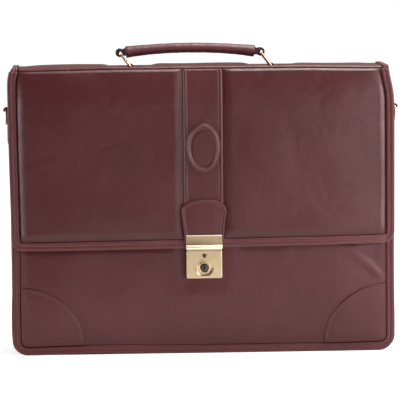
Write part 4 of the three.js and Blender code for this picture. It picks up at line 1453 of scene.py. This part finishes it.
def makeSideRings():
    s = sideRing
    half = (s["inside"] + s["wire"]) / 2
    bend = s["bend"]
    shank = bend + s["shank"]
    path = bentWire(half - bend, -bend, bend, 0, math.pi / 2)
    path += bentWire(-half + bend, -bend, bend, math.pi / 2, math.pi)
    bow = arcPoints(1, np.linspace(math.pi, 2 * math.pi, 33)[1:-1])
    path += [(half * c, -shank + (s["reach"] - shank) * v, c, v) for c, v in bow]
    hole = s["wire"] / 2 + s["loopGap"]
    outside = hole + s["loopLeather"]
    seat = -(outside + s["loopGap"])
    tailFace = seat + s["tailThickness"]
    meet = math.acos(tailFace / outside)
    arc = arcPoints(outside, np.linspace(2 * math.pi - meet, 3 * math.pi, 30))
    outlines = [[(seat, -s["tail"]), (tailFace, -s["tail"]), *arc, (seat, 0)], circle(hole)]
    for side, sign in (("left", -1), ("right", 1)):
        origin = np.array(joints[f"side_ring_{side}_swing"]["pos_m"])
        piece = wireRing(f"strap_ring_{side}", path, s["wire"] / 2, origin, np.array([0, 0, 1.0]))
        dress(piece, ringBrass, f"side_ring_{side}", [f"side_ring_{side}"])
        place = facing(origin, sign) @ upright
        piece = profileSolid(f"strap_chape_leather_{side}", outlines, s["chapeWidth"], 0.35 * mm, place)
        dress(smoothByAngle(piece, 40), oxbloodTrim, replaces=[f"side_chape_{side}"])
        face = origin[0] + sign * (tailFace + 0.1 * mm)
        z = origin[2] - np.linspace(6 * mm, s["tail"] - 3 * mm, 10)
        for y in (-s["stitchHalf"], s["stitchHalf"]):
            stitchLine(stack(face, y, z), (sign, 0, 0))
        across = np.linspace(-s["stitchHalf"], s["stitchHalf"], 5)
        stitchLine(stack(face, across, z[-1]), (sign, 0, 0))


makeHandle()
makeChapes()
makeSideRings()
print("handle and rings ready")


# Stitches, instanced along their lines by Geometry Nodes

stitching = {
    "pitch": 3 * mm,
    "length": 2.2 * mm,
    "thickness": 0.95 * mm,
    "slant": 0.25,
    "seed": 7,
}


def stitchTree():
    tree = bpy.data.node_groups.new("stitch rows", "GeometryNodeTree")
    face = tree.interface
    face.new_socket("Geometry", in_out="INPUT", socket_type="NodeSocketGeometry")
    for name in ("Stitch Pitch", "Stitch Length", "Thread Thickness", "Slant"):
        face.new_socket(name, in_out="INPUT", socket_type="NodeSocketFloat")
    face.new_socket("Seed", in_out="INPUT", socket_type="NodeSocketInt")
    face.new_socket("Thread", in_out="INPUT", socket_type="NodeSocketMaterial")
    face.new_socket("Geometry", in_out="OUTPUT", socket_type="NodeSocketGeometry")

    def add(kind, sockets=None, **settings):
        return addNode(tree, kind, sockets, **settings).outputs

    into = add("NodeGroupInput")
    lines = add("GeometryNodeMeshToCurve", {"Mesh": into["Geometry"]})
    spaced = add(
        "GeometryNodeResampleCurve", {"Curve": lines[0], "Length": into["Stitch Pitch"]}, mode="LENGTH"
    )
    away = add("GeometryNodeInputNamedAttribute", {"Name": "stitchNormal"}, data_type="FLOAT_VECTOR")
    along = add("GeometryNodeInputTangent")
    standing = add("FunctionNodeAlignRotationToVector", {"Vector": away[0]}, axis="Z")
    turned = add(
        "FunctionNodeAlignRotationToVector", {"Rotation": standing[0], "Vector": along[0]},
        axis="X", pivot_axis="Z",
    )
    jitter = add("FunctionNodeRandomValue", {2: 0.6, 3: 1.4, "Seed": into["Seed"]}, data_type="FLOAT")
    lean = add("ShaderNodeMath", {0: jitter[1], 1: into["Slant"]}, operation="MULTIPLY")
    leanTurn = add("ShaderNodeCombineXYZ", {"Z": lean[0]})
    slanted = add(
        "FunctionNodeRotateRotation", {"Rotation": turned[0], "Rotate By": leanTurn[0]},
        rotation_space="LOCAL",
    )
    ball = add("GeometryNodeMeshUVSphere", {"Segments": 6, "Rings": 4, "Radius": 0.5})
    thickness = into["Thread Thickness"]
    size = add("ShaderNodeCombineXYZ", {"X": into["Stitch Length"], "Y": thickness, "Z": thickness})
    thread = add("GeometryNodeTransform", {"Geometry": ball[0], "Scale": size[0]})
    placed = add("GeometryNodeInstanceOnPoints", {
        "Points": spaced[0], "Instance": thread[0], "Rotation": slanted[0],
    })
    real = add("GeometryNodeRealizeInstances", {"Geometry": placed[0]})
    painted = add("GeometryNodeSetMaterial", {"Geometry": real[0], "Material": into["Thread"]})
    addNode(tree, "NodeGroupOutput", {0: painted[0]})
    return tree


def makeStitches():
    tree = stitchTree()
    sockets = {item.name: item.identifier for item in tree.interface.items_tree if item.in_out == "INPUT"}
    values = {
        "Stitch Pitch": stitching["pitch"],
        "Stitch Length": stitching["length"],
        "Thread Thickness": stitching["thickness"],
        "Slant": stitching["slant"],
        "Seed": stitching["seed"],
        "Thread": oxbloodThread,
    }
    for body, rows in stitchRows.items():
        points = np.concatenate([line for line, _ in rows])
        normals = np.concatenate([away for _, away in rows])
        edges, start = [], 0
        for line, _ in rows:
            edges += [(start + k, start + k + 1) for k in range(len(line) - 1)]
            start += len(line)
        mesh = bpy.data.meshes.new(f"{body}_stitches")
        mesh.from_pydata(points.tolist(), edges, [])
        layer = mesh.attributes.new("stitchNormal", "FLOAT_VECTOR", "POINT")
        layer.data.foreach_set("vector", normals.astype(np.float32).ravel())
        piece = linked(f"{body}_stitches", mesh)
        nodes = piece.modifiers.new("stitches", "NODES")
        nodes.node_group = tree
        for name, value in values.items():
            nodes[sockets[name]] = value
        solid = plainMesh(piece)
        smooth(solid)
        dress(solid, oxbloodThread, body)


makeStitches()
print("stitches ready")


# The studio

studio = {
    "azimuth": 2.6,  # degrees, the camera stands left of the middle
    "elevation": 5.0,
    "roll": -0.5,
    "distance": 2.6,
    "lens": 217.6,
    "target": (-0.0026, -0.02, 0.1636),
    "worldLight": 0.025,
    "worldSeen": 1.05,  # the backdrop as the camera sees it
    "floorRadius": 6,
    "floorGlow": (0.62, 1.1),  # beside the case and far from it, within this reach
    "floorReach": (0.15, 0.7),
}

caseMiddle = (0, 0, 0.15)
coolWhite = (0.98, 0.95, 1.0)
lights = {
    "right_softbox": {
        "spot": (0.55, -1.0, 0.22), "aim": (0.3, -0.05, 0.08), "size": (0.5, 0.7), "power": 1.25,
        "color": (0.97, 0.95, 1.0), "spread": 100,
    },
    "left_strip": {
        "spot": (-1.6, -0.25, 0.35), "aim": caseMiddle, "size": (0.4, 1.2), "power": 23,
        "color": (0.95, 0.95, 1.0),
    },
    "right_strip": {
        "spot": (1.6, -0.3, 0.35), "aim": caseMiddle, "size": (0.4, 1.2), "power": 23, "color": coolWhite,
    },
    "top_softbox": {"spot": (0.35, 0.05, 1.5), "aim": (0, 0, 0.3), "size": (1.3, 0.7), "power": 34},
    "rear_softbox": {"spot": (0.0, 1.6, 0.9), "aim": (0, 0, 0.3), "size": (2.6, 1.0), "power": 2.5},
    "high_front": {"spot": (-0.1, -0.8, 1.5), "aim": caseMiddle, "size": (0.5, 0.3), "power": 1.9},
    "high_right": {
        "spot": (1.05, -0.9, 0.9), "aim": caseMiddle, "size": (0.4, 0.3), "power": 4.4, "color": coolWhite,
    },
}


def makeCamera():
    s = studio
    a, e, r = (math.radians(s[key]) for key in ("azimuth", "elevation", "roll"))
    forward = Vector((math.sin(a) * math.cos(e), math.cos(a) * math.cos(e), -math.sin(e)))
    level = Vector((math.cos(a), -math.sin(a), 0))
    above = level.cross(forward)
    right = level * math.cos(r) + above * math.sin(r)
    up = above * math.cos(r) - level * math.sin(r)
    data = bpy.data.cameras.new("studio_camera")
    data.lens = s["lens"]
    data.sensor_width = 36.0
    data.clip_end = 50.0
    camera = linked("studio_camera", data)
    spot = Vector(s["target"]) - forward * s["distance"]
    turn = Matrix((right, up, -forward)).transposed().to_4x4()
    camera.matrix_world = Matrix.Translation(spot) @ turn
    bpy.context.scene.camera = camera


def makeLight(name, spot, aim, size, power, color=(1, 1, 1), spread=180):
    data = bpy.data.lights.new(name, "AREA")
    data.shape = "RECTANGLE"
    data.size, data.size_y = size
    data.energy = power
    data.color = color
    data.spread = math.radians(spread)
    light = linked(name, data)
    light.location = spot
    light.visible_camera = False
    light.rotation_euler = (Vector(aim) - Vector(spot)).to_track_quat("-Z", "Y").to_euler()


def makeFloor():
    radius, count = studio["floorRadius"], 96
    turn = around(count)
    points = stack(radius * np.cos(turn), radius * np.sin(turn), np.full(count, -0.2 * mm))
    floor = makeMesh("studio_floor", points, [list(range(count))])
    tree = Tree("pale_floor")
    place = tree.add("ShaderNodeTexCoord").outputs["Object"]
    far = tree.add("ShaderNodeVectorMath", {0: place}, operation="LENGTH").outputs["Value"]
    glow = tree.spread(far, *studio["floorReach"], *studio["floorGlow"])
    byCamera = tree.add("ShaderNodeLightPath").outputs["Is Camera Ray"]
    seen = tree.add("ShaderNodeMath", {0: glow, 1: byCamera}, operation="MULTIPLY")
    tree.feed(
        Base_Color=(0.85, 0.85, 0.85, 1),
        Roughness=0.9,
        Specular_IOR_Level=0.0,
        Emission_Color=(1, 1, 1, 1),
        Emission_Strength=seen.outputs[0],
    )
    floor.data.materials.append(tree.material)


def makeWorld():
    world = bpy.data.worlds.new("studio_white")
    bpy.context.scene.world = world
    world.use_nodes = True
    tree = world.node_tree
    white = (1, 1, 1, 1)
    lit = tree.nodes["Background"]
    lit.inputs["Color"].default_value = white
    lit.inputs["Strength"].default_value = studio["worldLight"]
    seen = addNode(tree, "ShaderNodeBackground", {"Color": white, "Strength": studio["worldSeen"]})
    byCamera = addNode(tree, "ShaderNodeLightPath").outputs["Is Camera Ray"]
    mixed = addNode(tree, "ShaderNodeMixShader", {0: byCamera, 1: lit.outputs[0], 2: seen.outputs[0]})
    tree.links.new(mixed.outputs[0], tree.nodes["World Output"].inputs["Surface"])


makeCamera()
makeFloor()
makeWorld()
for lightName, settings in lights.items():
    makeLight(lightName, **settings)
bpy.context.scene.view_settings.view_transform = "Standard"
print("studio ready")

bpy.context.view_layer.update()
